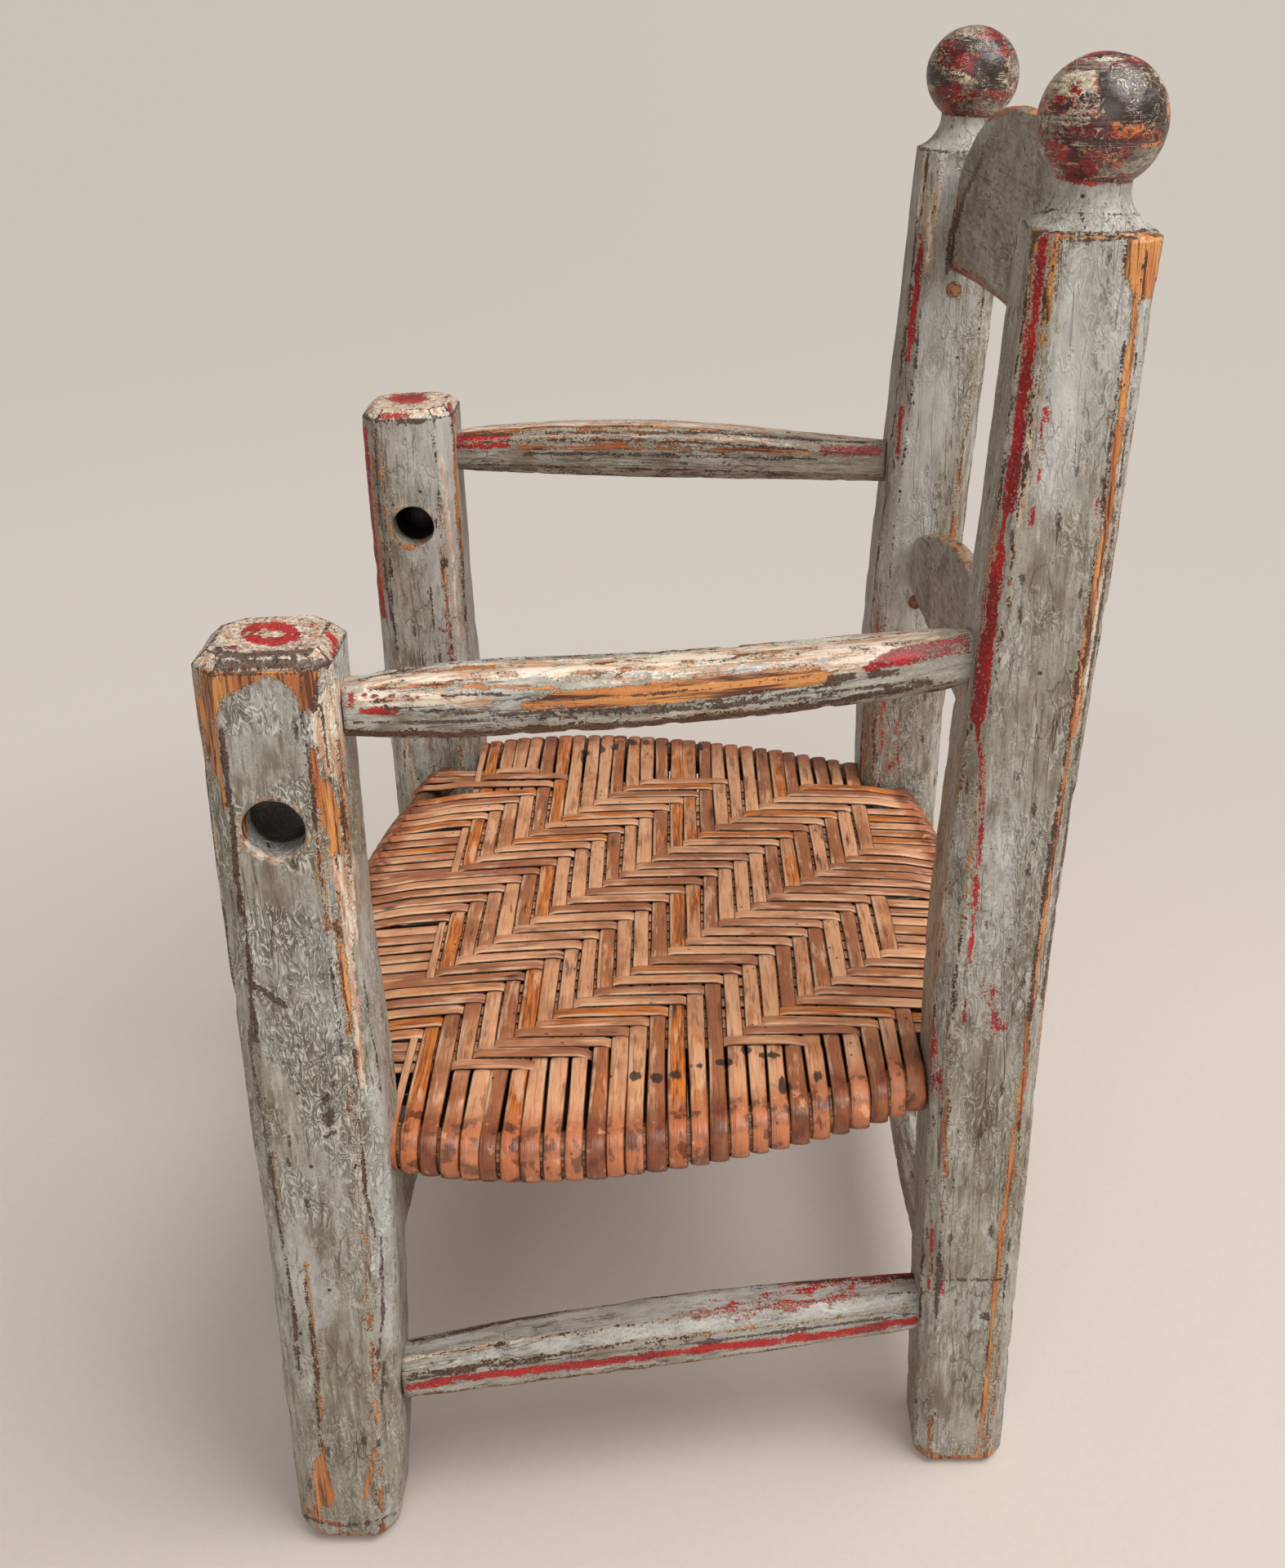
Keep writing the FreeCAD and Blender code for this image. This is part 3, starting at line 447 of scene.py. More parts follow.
def splint_bark():
    # Strips of split wood: long fibres, pale worn edges with a painted highlight, painted shade along the
    # strips' sides and under them, dark and glossy at the bends with painted highlights there
    f = Finish("woven splint")
    across, bend = f.attribute("across"), f.attribute("bend")
    strip = f.out("ShaderNodeCombineXYZ", 0, {0: across * 0.0038, 1: f.attribute("strand"),
                                              2: f.attribute("along")})
    streak = f.noise(f.stretch(strip, 0.05), 1000, 4.0, 0.65)
    broad = f.noise(f.stretch(strip, 0.14), 220, 3.0, 0.6)
    patch = f.noise(f.stretch(strip, 0.7), 46, 3.0, 0.6)
    patch_push = (patch - 0.5) * 1.6
    tone = f.attribute("tone") + patch_push
    f.tint = f.mix(tone.rise(0.15, 0.85), (166, 102, 66), (226, 165, 122))
    f.lay((f.attribute("orange") + patch_push * 0.7).rise(0.46, 0.72),
          f.mix(streak.rise(0.4, 0.62), (218, 128, 50), (150, 72, 28)))
    f.lay(streak.rise(0.5, 0.64) * 0.5, (122, 70, 48))
    f.lay(broad.rise(0.57, 0.68) * 0.6, (98, 58, 44))
    f.lay(broad.rise(0.45, 0.33) * 0.6, (240, 192, 154))
    # A pale worn edge on one side of each strip, lightened further as a painted highlight
    worn_edge_highlight = (across + (broad - 0.5)).rise(0.5, 0.72) * patch.rise(0.42, 0.56)
    f.lay(worn_edge_highlight * 0.62, (240, 202, 166))
    # Painted shade along both sides of each strip, darkening the gaps between strips
    f.lay(f.work("ABSOLUTE", across).rise(0.82, 0.97) * 0.85, (60, 32, 20))
    mottle = f.noise(f.stretch(strip, 0.8), 170, 3.0, 0.6)
    bend_tint = f.mix(tone.rise(0.2, 0.8), (124, 64, 36), (186, 108, 68))
    bend_tint = f.mix(mottle.rise(0.5, 0.62), bend_tint, (92, 42, 24))
    # Light patches in the bends are painted highlights
    bend_tint = f.mix(mottle.rise(0.38, 0.3) * 0.7, bend_tint, (230, 162, 120))
    f.lay((bend + patch_push * 0.6).rise(0.1, 0.9) * 0.85, bend_tint)
    # Dirt and smudges, with painted shade on the lower half of each wrap round a rail
    f.lay((f.attribute("dirt_and_painted_shade") + (broad - 0.5) * 1.2).rise(0.42, 0.6) * 0.88, (34, 26, 25))
    # Painted shade on the strips' inner faces and on the lower layer between them
    f.lay(f.attribute("painted_weave_shade") * 0.92, (34, 21, 16))
    speck = f.specks(f.stretch(strip, 0.6), 190, 0.13, 0.08, 0.55, 0.6)
    f.lay(speck * 0.7, (58, 34, 26))
    height = streak * 0.9 + broad * 0.8 + patch * 0.5 - speck * 0.5
    return f.done(streak.rise(0.3, 0.7, 0.3, 0.46) - bend * 0.08, height, 0.0006)


PUTTY, BALL, RAIL_WOOD, SPLINT = putty_paint(), ball_paint(), rail_wood(), splint_bark()


# Paint marks, in the photograph's pixels. For each layer of paint, its strokes: first the width,
# then the points. Width 0 is a patch with the points as its corners

def oval(x, y, wide, high):
    return [(x + wide * math.cos(turn), y + high * math.sin(turn)) for turn in full_turn(20)]


def box_patch(left, top, right, bottom):
    return [(left, top), (right, top), (right, bottom), (left, bottom)]


MARKS = {
    "front_post_left": {
        "cream": [(0, (268, 778), (300, 752), (372, 748), (392, 768), (372, 790), (285, 796)),
            (0, (378, 886), (392, 850), (418, 828), (424, 900), (420, 960), (402, 950), (388, 922)),
            (0, (406, 1048), (434, 1050), (440, 1154), (420, 1150)),
            (9, (426, 1150), (434, 1240), (444, 1330)), (5, (262, 1010), (270, 1100), (282, 1220))],
        "red": [(7, *oval(331, 776, 32, 11), (363, 776)), (6, *oval(331, 776, 23, 8), (354, 776)),
            (7, (402, 776), (411, 786), (408, 804))],
        "dark": [(8, (268, 796), (286, 803), (380, 798)), (4, (384, 808), (388, 826), (386, 872)),
            (0, (262, 808), (398, 806), (404, 818), (264, 821)), (6, (250, 945), (256, 1005)),
            (7, (271, 895), (277, 950), (284, 1010)), (7, (284, 1010), (290, 1070), (296, 1120)),
            (3, (290, 1060), (298, 1120), (306, 1190)), (2.5, (394, 862), (402, 940)),
            (2.5, (412, 1050), (418, 1150)),
            (3.5, (410, 1130), (420, 1210), (434, 1293), (441, 1374), (448, 1463), (460, 1515)),
            (3, (467, 1515), (469, 1611), (463, 1663)), (3, (470, 1668), (466, 1723), (461, 1790)),
            (4, (306, 1190), (308, 1290), (318, 1350), (330, 1420), (344, 1509), (358, 1594),
             (366, 1690)), (3, (371, 1545), (382, 1641), (388, 1708), (393, 1774)),
            (4, (372, 1856), (400, 1866), (440, 1868), (482, 1854)), (0, *oval(404, 1368, 5, 11)),
            (5, (398, 1392), (412, 1386)), (4, (396, 1350), (400, 1342)),
            (5, (300, 1200), (326, 1216), (348, 1232)), (4, (306, 1262), (316, 1276)),
            (3, (336, 990), (322, 1010), (330, 1038)), (2.5, (268, 1060), (276, 1140), (290, 1240))],
        "pale": [(3, (268, 806), (396, 803)),
            (24, (444, 1060), (456, 1240), (468, 1380), (476, 1500), (482, 1640)),
            (7, (326, 1036), (346, 1044), (366, 1036))],
        "bare": [(0, (264, 822), (394, 818), (386, 850), (378, 872), (368, 868), (358, 846), (346, 834),
             (326, 830), (300, 842), (282, 850), (266, 852)),
            (0, (240, 818), (268, 822), (272, 850), (266, 875), (258, 884), (262, 905), (268, 950),
             (262, 955), (254, 920), (246, 884)), (6, (262, 885), (268, 940), (276, 990)),
            (6, (286, 1046), (289, 1066)), (6, (296, 996), (301, 1024)),
            (0, (378, 912), (387, 915), (392, 950), (408, 962), (417, 1000), (421, 1046), (406, 1046),
             (396, 1010), (388, 985), (380, 960)), (3, (380, 866), (392, 876)),
            (9, (413, 1130), (418, 1174), (425, 1226), (430, 1266)),
            (3, (434, 1290), (441, 1374), (448, 1450)),
            (5, (463, 1670), (460, 1723), (456, 1782), (448, 1834)), (3, (334, 1411), (346, 1509)),
            (3, (356, 1570), (367, 1717)),
            (4, (374, 1546), (384, 1641), (391, 1708), (396, 1774), (404, 1841)),
            (0, (380, 1800), (392, 1776), (402, 1800), (410, 1836), (400, 1850), (386, 1842)),
            (6, (374, 1846), (392, 1862), (420, 1868))],
    },
    "front_post_right": {
        "cream": [(0, (448, 492), (470, 476), (536, 474), (548, 490), (530, 506), (456, 508)),
            (0, *oval(484, 510, 32, 7)), (0, *oval(533, 503, 14, 7)),
            (5, (540, 560), (553, 680), (562, 780))],
        "red": [(0, *oval(501, 488, 24, 7)), (0, *oval(480, 510, 20, 4)), (6, (550, 496), (556, 516)),
            (6, (447, 524), (452, 600), (462, 690), (470, 754)), (2.5, (532, 768), (546, 774))],
        "dark": [(2.5, (446, 506), (458, 522), (516, 518), (548, 502)),
            (2.5, (458, 522), (462, 600), (474, 720), (488, 800)),
            (2.2, (524, 701), (531, 760), (539, 813)), (2, (566, 680), (570, 760)),
            (0, *oval(546, 690, 4, 6))],
        "bare": [(3, (456, 524), (460, 620), (470, 720)),
            (3, (479, 640), (480, 660), (500, 671), (520, 662), (524, 640)),
            (2.5, (563, 640), (568, 720))],
        "pale": [(44, (526, 560), (540, 700), (548, 800))],
    },
    "back_post_left": {
        "red": [(19, (1277, 290), (1265, 370), (1256, 470), (1245, 545), (1236, 619)),
            (22, (1221, 675), (1212, 740), (1204, 810), (1196, 875)), (6, (1233, 615), (1222, 680)),
            (7, (1196, 870), (1200, 930)), (5, (1200, 1025), (1195, 1080)),
            (4, (1193, 1105), (1189, 1155)), (5, (1281, 500), (1270, 590), (1261, 650)),
            (9, (1202, 926), (1201, 980), (1200, 1029)), (8, (1194, 1075), (1194, 1110)),
            (6, (1190, 1150), (1189, 1180)), (6, (1183, 1225), (1181, 1250)),
            (3.5, (1141, 1495), (1140, 1557)), (3, (1137, 1568), (1137, 1578)),
            (4, (1152, 1568), (1152, 1584)),
            (0, (1280, 172), (1330, 178), (1350, 214), (1300, 220), (1276, 200)),
            (9, (1290, 212), (1330, 222), (1390, 216), (1416, 200)),
            (8, (1330, 68), (1370, 62), (1380, 68)), (0, *oval(1298, 128, 14, 12))],
        "bare": [(0, (1374, 285), (1424, 285), (1418, 363), (1396, 366), (1378, 340)),
            (7, (1389, 363), (1388, 413)),
            (10, (1384, 420), (1376, 480), (1354, 640), (1332, 770), (1311, 900)),
            (6, (1311, 900), (1286, 1070), (1261, 1240)), (5, (1261, 1240), (1246, 1350), (1233, 1450)),
            (7, (1233, 1450), (1216, 1600), (1199, 1780)), (4, (1296, 288), (1326, 290), (1374, 290)),
            (7, (1122, 1772), (1150, 1786), (1196, 1786), (1222, 1776)),
            (0, (1350, 152), (1414, 146), (1430, 160), (1424, 182), (1352, 172))],
        "dark": [(5, (1378, 420), (1366, 500), (1347, 640)),
            (3.5, (1347, 640), (1307, 900), (1258, 1240)), (3, (1256, 291), (1330, 296), (1420, 288)),
            (2.4, (1254, 270), (1261, 283), (1309, 285), (1366, 285), (1419, 281), (1422, 270)),
            (1.6, (1292, 236), (1278, 262)), (1.5, (1330, 240), (1322, 262), (1330, 280)),
            (1.5, (1372, 250), (1384, 276)), (1.4, (1262, 262), (1300, 256), (1350, 264), (1410, 262)),
            (2.5, (1264, 300), (1240, 480), (1222, 620)), (0, *oval(1207, 1611, 7, 5)),
            (2.5, (1392, 431), (1364, 640), (1322, 900), (1273, 1240)), (2, (1152, 1567), (1228, 1567)),
            (0, (1346, 88), (1400, 78), (1426, 108), (1430, 142), (1390, 152), (1350, 140))],
        "cream": [(6, (1386, 440), (1358, 650), (1318, 900)),
            (0, (1300, 90), (1340, 84), (1346, 150), (1300, 160), (1290, 120)),
            (5, (1346, 72), (1400, 76))],
        "pale": [(60, (1330, 330), (1310, 480), (1290, 600))],
    },
    "back_post_right": {
        "dark": [(4, (1159, 336), (1161, 300), (1172, 250), (1194, 200)),
            (2.5, (1136, 190), (1118, 330), (1102, 460)), (3, (1124, 182), (1150, 186), (1200, 186)),
            (0, *oval(1212, 84, 22, 20)), (0, *oval(1214, 106, 20, 5))],
        "pale": [(62, (1150, 380), (1136, 520), (1112, 640), (1104, 740))],
        "red": [(9, (1128, 290), (1122, 350), (1112, 440)), (5, (1104, 500), (1098, 560)),
            (0, *oval(1168, 66, 22, 20)), (0, *oval(1192, 82, 12, 10)), (0, *oval(1160, 118, 22, 16)),
            (0, *oval(1212, 116, 26, 8))],
        "bare": [(3, (1060, 900), (1052, 1000))],
    },
    "arm_left": {
        "cream": [(22, (450, 840), (600, 822), (800, 813), (1000, 796), (1140, 780)),
            (0, (990, 818), (1050, 800), (1110, 786), (1180, 776), (1180, 798), (1120, 808),
             (1060, 822), (1022, 826)),
            (0, (424, 848), (545, 849), (606, 854), (604, 864), (540, 865), (424, 864))],
        "dark": [(2, (440, 832), (520, 816), (600, 808), (800, 799), (1000, 781), (1100, 771)),
            (2.2, (700, 857), (800, 850), (900, 839), (990, 829)),
            (3, (540, 852), (600, 850), (640, 854), (690, 850)),
            (4, (470, 866), (560, 872), (640, 874), (700, 872), (800, 866), (960, 851), (1030, 836)),
            (9, (1014, 832), (1044, 828)), (8, (1066, 826), (1098, 822)),
            # The next two dark strokes run along the arm's lower facet: painted shade
            (3, (430, 884), (560, 884), (700, 878), (860, 868), (1000, 852), (1140, 828)),
            (7, (430, 898), (560, 899), (700, 892), (800, 885), (900, 876), (1000, 863), (1140, 836))],
        "bare": [(2.5, (480, 826), (600, 816)), (3, (560, 818), (640, 814)),
            (2.5, (830, 812), (900, 806)), (2.5, (700, 824), (800, 818)), (3, (900, 803), (1000, 792)),
            (4.5, (452, 844), (560, 838), (640, 842), (690, 844)),
            (0, (636, 862), (684, 847), (760, 841), (800, 835), (900, 824), (996, 818), (1028, 827),
             (1008, 838), (920, 850), (800, 863), (700, 869), (640, 868))],
        "red": [(0, (1054, 817), (1088, 797), (1150, 783), (1186, 776), (1186, 798), (1130, 809),
             (1090, 818), (1060, 823)), (0, *box_patch(424, 849, 434, 866)),
            (5, (444, 851), (447, 851)), (5, (456, 852), (460, 852)), (5.5, (478, 852), (481, 852)),
            (5, (495, 853), (498, 853)), (4.5, (510, 854), (514, 854)),
            (0, *box_patch(441, 867, 490, 876))],
    },
    "arm_right": {
        "cream": [(8, (570, 528), (700, 520), (860, 520), (1000, 528), (1070, 536)),
            (4, (560, 548), (622, 548))],
        "dark": [(2.5, (560, 534), (700, 530), (860, 530), (1060, 542)),
            (3, (640, 556), (760, 556), (900, 560), (1000, 562))],
        "red": [(0, (556, 531), (624, 531), (624, 549), (556, 550)),
            (0, (1004, 545), (1080, 545), (1080, 559), (1004, 558))],
        "bare": [(5, (636, 549), (760, 547), (860, 550), (989, 554)),
            (3, (600, 530), (720, 528), (820, 530))],
    },
    "upper_slat": {
        "bare": [(5, (1200, 150), (1240, 132), (1262, 126)),
            (4, (1166, 320), (1200, 342), (1232, 373))],
        "dark": [(5, (1164, 322), (1167, 290), (1180, 240), (1202, 196))],
        "red": [(4, (1164, 326), (1164, 300), (1172, 240)), (6, (1165, 326), (1200, 349), (1232, 380))],
    },
    "lower_slat": {
        "red": [(0, *oval(1150, 640, 12, 10))],
        "bare": [(4, (1120, 652), (1180, 640), (1200, 650))],
    },
    "stretcher_left": {
        "red": [(9, (500, 1699), (565, 1687), (668, 1676), (787, 1661), (914, 1646), (1025, 1633),
             (1120, 1617))],
        "dark": [(3.5, (500, 1643), (708, 1600), (914, 1572), (1120, 1564)),
            (2.5, (500, 1690), (668, 1666), (914, 1637), (1120, 1608))],
        # The pale stroke below the top arris is a painted highlight
        "pale": [(8, (500, 1652), (708, 1610), (914, 1582), (1120, 1574))],
    },
}


def stroke_field(x, y, width, line):
    # How far each point is outside the stroke, in pixels
    nearest = np.full(len(x), np.inf)
    for (x0, y0), (x1, y1) in zip(line, line[1:]):
        run = (x1 - x0) ** 2 + (y1 - y0) ** 2
        share = np.clip(((x - x0) * (x1 - x0) + (y - y0) * (y1 - y0)) / max(run, 1e-6), 0, 1)
        nearest = np.minimum(nearest, np.hypot(x - x0 - share * (x1 - x0), y - y0 - share * (y1 - y0)))
    return nearest - width / 2


def patch_field(x, y, corners):
    # The same for a patch; below 0 inside it
    distance = stroke_field(x, y, 0, corners + corners[:1])
    inside = np.zeros(len(x), bool)
    for (x0, y0), (x1, y1) in zip(corners, corners[1:] + corners[:1]):
        if y0 != y1:
            crossing = (y > min(y0, y1)) & (y <= max(y0, y1))
            inside ^= crossing & (x < x0 + (y - y0) * (x1 - x0) / (y1 - y0))
    return np.where(inside, -distance, distance)


LAYERS = ("red", "bare", "cream", "dark", "pale")
# Blur and width in the photograph's pixels
SOFT, SHARP, PALE_BLUR, WIDE_STROKE = 7, 5, 34, 20
FACING_LEAST, MARK_STRENGTH = 0.04, 0.82


def more(fields, layer, field):
    fields[layer] = np.maximum(fields[layer], field)


def paint(piece, marks, worn, soft):
    # The marks on what the camera sees, over wear that goes all round
    points, ways = places(piece), outward_ways(piece)
    x, y = seen(points)
    towards = CAMERA_PLACE - points
    facing = np.einsum("ij,ij->i", ways, towards) > FACING_LEAST * np.linalg.norm(towards, axis=1)
    fields = {layer: np.array(worn[layer]) for layer in LAYERS}
    for layer, (width, *line) in [(layer, stroke) for layer in marks for stroke in marks[layer]]:
        distance = stroke_field(x, y, width, line) if width else patch_field(x, y, line)
        blur = PALE_BLUR if layer == "pale" and width > WIDE_STROKE else soft
        if 0 < width < WIDE_STROKE:
            blur = min(blur, max(4, width * 0.7))
        field = np.clip(0.5 - distance / (2 * blur), 0, MARK_STRENGTH)
        more(fields, layer, np.where(facing, field, 0))
    for layer, field in fields.items():
        store(piece, layer, field)


def wear(points, arris, seed, amount):
    # Wear that nobody placed: worn arrises, chips, streaks of the layers below
    along = points * (1, 1, 0.35)

    def wander(size, step=0):
        return drift(along, size, seed + step)

    fields = {
        "bare": arris * (0.52 + 0.34 * wander(46)) * amount,
        "dark": arris ** 2 * (0.5 + 0.3 * wander(30, 1)) * amount,
        "cream": arris * (0.42 + 0.3 * wander(26, 2)) * amount + 0.32 * rise(wander(60, 3), 0.5, 1.2),
        "red": (arris * 0.3 + 0.5 * rise(wander(38, 4), 0.75, 1.35)) * amount,
        "pale": 0.3 + 0.3 * wander(55, 5)}
    return {layer: np.clip(field, 0, 1) for layer, field in fields.items()}


def dress(piece, node, material, grain, curl=0.3, others=()):
    store(piece, "grain", grain * MM)
    store(piece, "curl", curl + np.zeros(len(grain)))
    for each in (material, *others):
        piece.data.materials.append(each)
    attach(piece, "root")
    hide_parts(node)


def hand_made(piece, arris, seed, swell=0.3, chip=0.9):
    # Flats that aren't quite flat, and chipped arrises
    points, ways = places(piece), outward_ways(piece)
    along = points * (1, 1, 0.4)
    move = swell * drift(points, 70, seed) + 0.12 * drift(points, 17, seed + 1)
    move -= chip * arris * rise(drift(along, 13, seed + 2), 0.35, 1.1)
    move -= 0.35 * rise(drift(along, 9, seed + 3), 0.9, 1.4)
    shift(piece, points + ways * move[:, None])


# Posts

SOLE_START = 8


def foot_stations(half_at, rounding, heights):
    # A foot's rounded edge, from well inside its sole: height and half width
    rounded = [(height, half_at(height) - rounding + math.sqrt(rounding ** 2 - (rounding - height) ** 2))
               for height in heights]
    return [(0, SOLE_START), *rounded]


def post_levels(low, high, spacing, half_at):
    return [(height, half_at(height)) for height in np.linspace(low, high, int((high - low) / spacing) + 1)]


def post_rings(stations, share, out_at, back_at, counts, softness_at):
    rings = []
    for height, half in stations:
        ring = octagon_ring(half, share, *counts, softness_at(height, half))
        rings.append(np.c_[ring[:, 0] + out_at(height), ring[:, 1] + back_at(height),
                           np.full(len(ring), height)])
    return rings


def from_axis(points, side, out_at, back_at):
    heights = points[:, 2]
    return np.c_[points[:, 0] * side - out_at(heights), points[:, 1] - back_at(heights)]


def stand(piece, points, side):
    # Turns a left post into a right one where side is -1, and keeps its sole on the floor
    points[:, 0] *= side
    points[:, 2] = np.maximum(points[:, 2], 0)
    shift(piece, points)
    face_outwards(piece)


FRONT_POST_HEIGHT, FRONT_POST_SHARE, FRONT_POST_BEVEL, FOOT_ROUNDING = 423, 0.38, 4.8, 9
FRONT_FOOT_OUT, FRONT_LEAN_IN, FRONT_FOOT_Y, FRONT_LEAN_BACK = 195, 10, -147.9, 3.5
FRONT_FOOT_HALF, FRONT_SWELL, SWELL_END = 23.5, 1.8, 0.5
BORE_HEIGHT, BORE_RADIUS, SOCKET_DEPTH = 357.6, 11.5, 38


def front_post_out(height):
    return FRONT_FOOT_OUT - FRONT_LEAN_IN * height / FRONT_POST_HEIGHT


def front_post_y(height):
    return FRONT_FOOT_Y + FRONT_LEAN_BACK * height / FRONT_POST_HEIGHT


def front_post_half(height):
    return FRONT_FOOT_HALF + FRONT_SWELL * np.minimum(1, height / (FRONT_POST_HEIGHT * SWELL_END))


def knee(heights, back_share):
    # The front posts are fuller towards the back at the seat, and their feet stand a little forward
    fuller = 3.5 * rise(heights, 60, 170) * (1 - rise(heights, 215, 330))
    foot_back = -4.5 * (1 - rise(heights, 0, 60))
    foot_front = -3.2 * (1 - rise(heights, 30, 180))
    return (np.clip(back_share, 0, 1) * (fuller + foot_back)
            + np.clip(-back_share, 0, 1) * foot_front)


def drill(piece, name, side):
    # Right through the left post, and into the right one from its inner side.
    # The bore's wall is a little uneven, and its rims are broken
    count, inner_end = 72, 26
    if side > 0:
        steps, rim_slope = [-34, -28, *np.linspace(-inner_end, inner_end, 27), 28, 34], 0.42
    else:
        deep_end = front_post_half(BORE_HEIGHT) - SOCKET_DEPTH
        steps, rim_slope = [*np.linspace(deep_end, inner_end, 27), 28, 34], 0.12
    turns = full_turn(count)
    ragged = 1 + 0.5 * np.sin(5 * turns + 1) * np.sin(3 * turns)
    rings = []
    for x in steps:
        rim = min(max(0, abs(x) - 23.6) * rim_slope, 1)
        radius = BORE_RADIUS + 0.12 * np.sin(3 * turns + x / 6) + rim * ragged
        rings.append(np.c_[np.full(count, side * front_post_out(BORE_HEIGHT) + x),
                           front_post_y(BORE_HEIGHT) + radius * np.cos(turns),
                           BORE_HEIGHT + radius * np.sin(turns)])
    bit = tube(name + "_bore", rings)
    hole = piece.modifiers.new("bore", "BOOLEAN")
    hole.operation, hole.solver, hole.object = "DIFFERENCE", "EXACT", bit
    evaluated_mesh(piece, hole)
    bpy.data.objects.remove(bit)
    piece.data.shade_smooth()


def front_post(side, name, spacing, counts, seed):
    top = FRONT_POST_HEIGHT - FRONT_POST_BEVEL
    half = front_post_half(top)
    stations = foot_stations(front_post_half, FOOT_ROUNDING, (0, 0.5, 1.3, 2.6, 4.2, 6.2))
    stations += post_levels(8.5, top, spacing, front_post_half)
    stations += [(top + FRONT_POST_BEVEL * up, half - FRONT_POST_BEVEL * inward) for up, inward in
                 ((0.08, 0.04), (0.25, 0.22), (0.5, 0.48), (0.75, 0.75), (0.92, 0.93), (0.98, 1.07))]
    stations += [(FRONT_POST_HEIGHT, size) for size in np.arange(half - 6.2, 1.5, -spacing * 1.2)]

    def softness_at(height, half):
        # The arrises are rubbed rounder towards the foot
        return min(1.1 + 2.6 * (1 - rise(height, 40, 280)), half * 0.14)

    piece = tube(name, post_rings(stations, FRONT_POST_SHARE, front_post_out, front_post_y, counts,
                                  softness_at))
    points = places(piece)
    heights = points[:, 2]
    across = from_axis(points, 1, front_post_out, front_post_y)
    half_here = front_post_half(heights)
    hand_made(piece, arris_nearness(across, half_here, FRONT_POST_SHARE, 4), seed)
    points = places(piece)
    points[:, 1] += knee(heights, across[:, 1] / half_here)
    stand(piece, points, side)
    drill(piece, name, side)

    points = places(piece)
    heights = points[:, 2]
    across = from_axis(points, side, front_post_out, front_post_y)
    half_here = front_post_half(heights)
    across[:, 1] -= knee(heights, across[:, 1] / half_here)
    near = arris_nearness(across, half_here, FRONT_POST_SHARE, 5)
    near = np.maximum(near, close_to(heights - top, 4) * 0.8)

    # Dark lines along the edges of the bevelled top
    u, v = np.abs(across[:, 0]), np.abs(across[:, 1])
    size = np.maximum(np.maximum(u, v), (u + v) / (2 - FRONT_POST_SHARE))
    outlined = close_to(size - half_here + 5.6, 1.5) * (heights > top + 2)
    outlined = np.maximum(outlined, close_to(heights - top, 1.6))
    mitre = arris_nearness(across, size, FRONT_POST_SHARE, 1.6) * (heights > top + 0.5)
    outlined = np.maximum(outlined, mitre * (size > half_here - 6))

    def patchy(size, step):
        return drift(points, size, seed + step)

    worn = wear(points, near, seed + 10, 0.8)
    on_top = heights > top + 1
    more(worn, "cream", on_top * 0.6)
    worn["red"] = np.where(on_top, 0.3 + 0.1 * patchy(22, 20), worn["red"] * 0.5)
    worn["pale"] += 0 if side > 0 else 0.12
    worn["dark"] = np.where(on_top, worn["dark"] * 0.7, worn["dark"])
    more(worn, "dark", outlined * (0.72 + 0.14 * patchy(15, 23)))

    # The bore's broken rim and the foot
    from_bore = np.hypot(across[:, 1], heights - BORE_HEIGHT)
    inside = (from_bore < BORE_RADIUS + 0.9) & (u < half_here - 1.2)
    rim = close_to(from_bore - BORE_RADIUS - 1.5, 3) * ~inside
    more(worn, "bare", rim * (0.36 + 0.2 * patchy(14, 21)))
    more(worn, "cream", rim * (0.5 + 0.2 * patchy(11, 24)))
    more(worn, "bare", rise(-heights, -15, -4) * (0.6 + 0.2 * patchy(18, 22)))
    more(worn, "dark", rise(-heights, -9, 0) * (0.42 + 0.3 * patchy(14, 26)))

    # Inside the bore: cream near the mouth, partly chips and partly painted light on the lower wall, and
    # the dark layer as painted shade above and further in
    deep = half_here - across[:, 0] * side
    shade = rise(heights - BORE_HEIGHT + 0.5 * across[:, 1], -6, 2) * rise(deep, 0.5, 4)
    shade = np.maximum(shade, rise(deep, 10, 17))
    bore_cream = 0.5 * rise(-deep, -5, -1) + 0.14 * patchy(6, 25) + 0.14
    for layer, field in (("red", 0), ("bare", 0), ("cream", bore_cream), ("dark", 0.1 + 0.8 * shade),
                         ("pale", 0.5)):
        worn[layer] = np.where(inside, field, worn[layer])
    paint(piece, MARKS[name], worn, SOFT)
    # Near-black painted shade on the bore's upper wall and deep inside it
    store(piece, "deep", inside * np.clip(shade - 0.08, 0, 1))
    curl = 0.34 + 0.5 * rise(heights, 70, 290) if side > 0 else 0.15
    dress(piece, name, PUTTY, points + (0, seed * 37, 0), curl)


# Back posts with their turned finials

SHOULDER, BACK_POST_SHARE, BACK_POST_MIDDLE, BACK_FOOT_ROUNDING = 551.5, 0.3, 261, 6
BACK_FOOT_OUT, BACK_LEAN_IN, BACK_FOOT_Y = 154.7, 15.6, 128.6
BACK_FOOT_HALF, BACK_SWELL, BACK_TAPER = 20.4, 2.6, 1.5
BEND_START, BEND_LENGTH, LEAN = 200, 140, math.atan(0.0682)
COVE_EDGE, COVE_HEIGHT, COVE_RADIUS = 28.8, 13, 16
NECK_RADIUS, BALL_RADIUS, BALL_RISE = 13.1, 22.2, 35
BALL_UNDER = BALL_RISE - math.sqrt(BALL_RADIUS ** 2 - NECK_RADIUS ** 2)


def back_post_out(height):
    return BACK_FOOT_OUT - BACK_LEAN_IN * height / SHOULDER


def back_post_y(height):
    past = height - BEND_START
    bent = np.clip(past, 0, BEND_LENGTH)
    return (BACK_FOOT_Y
            + math.tan(LEAN) * (bent ** 2 / (2 * BEND_LENGTH) + np.maximum(past - BEND_LENGTH, 0)))


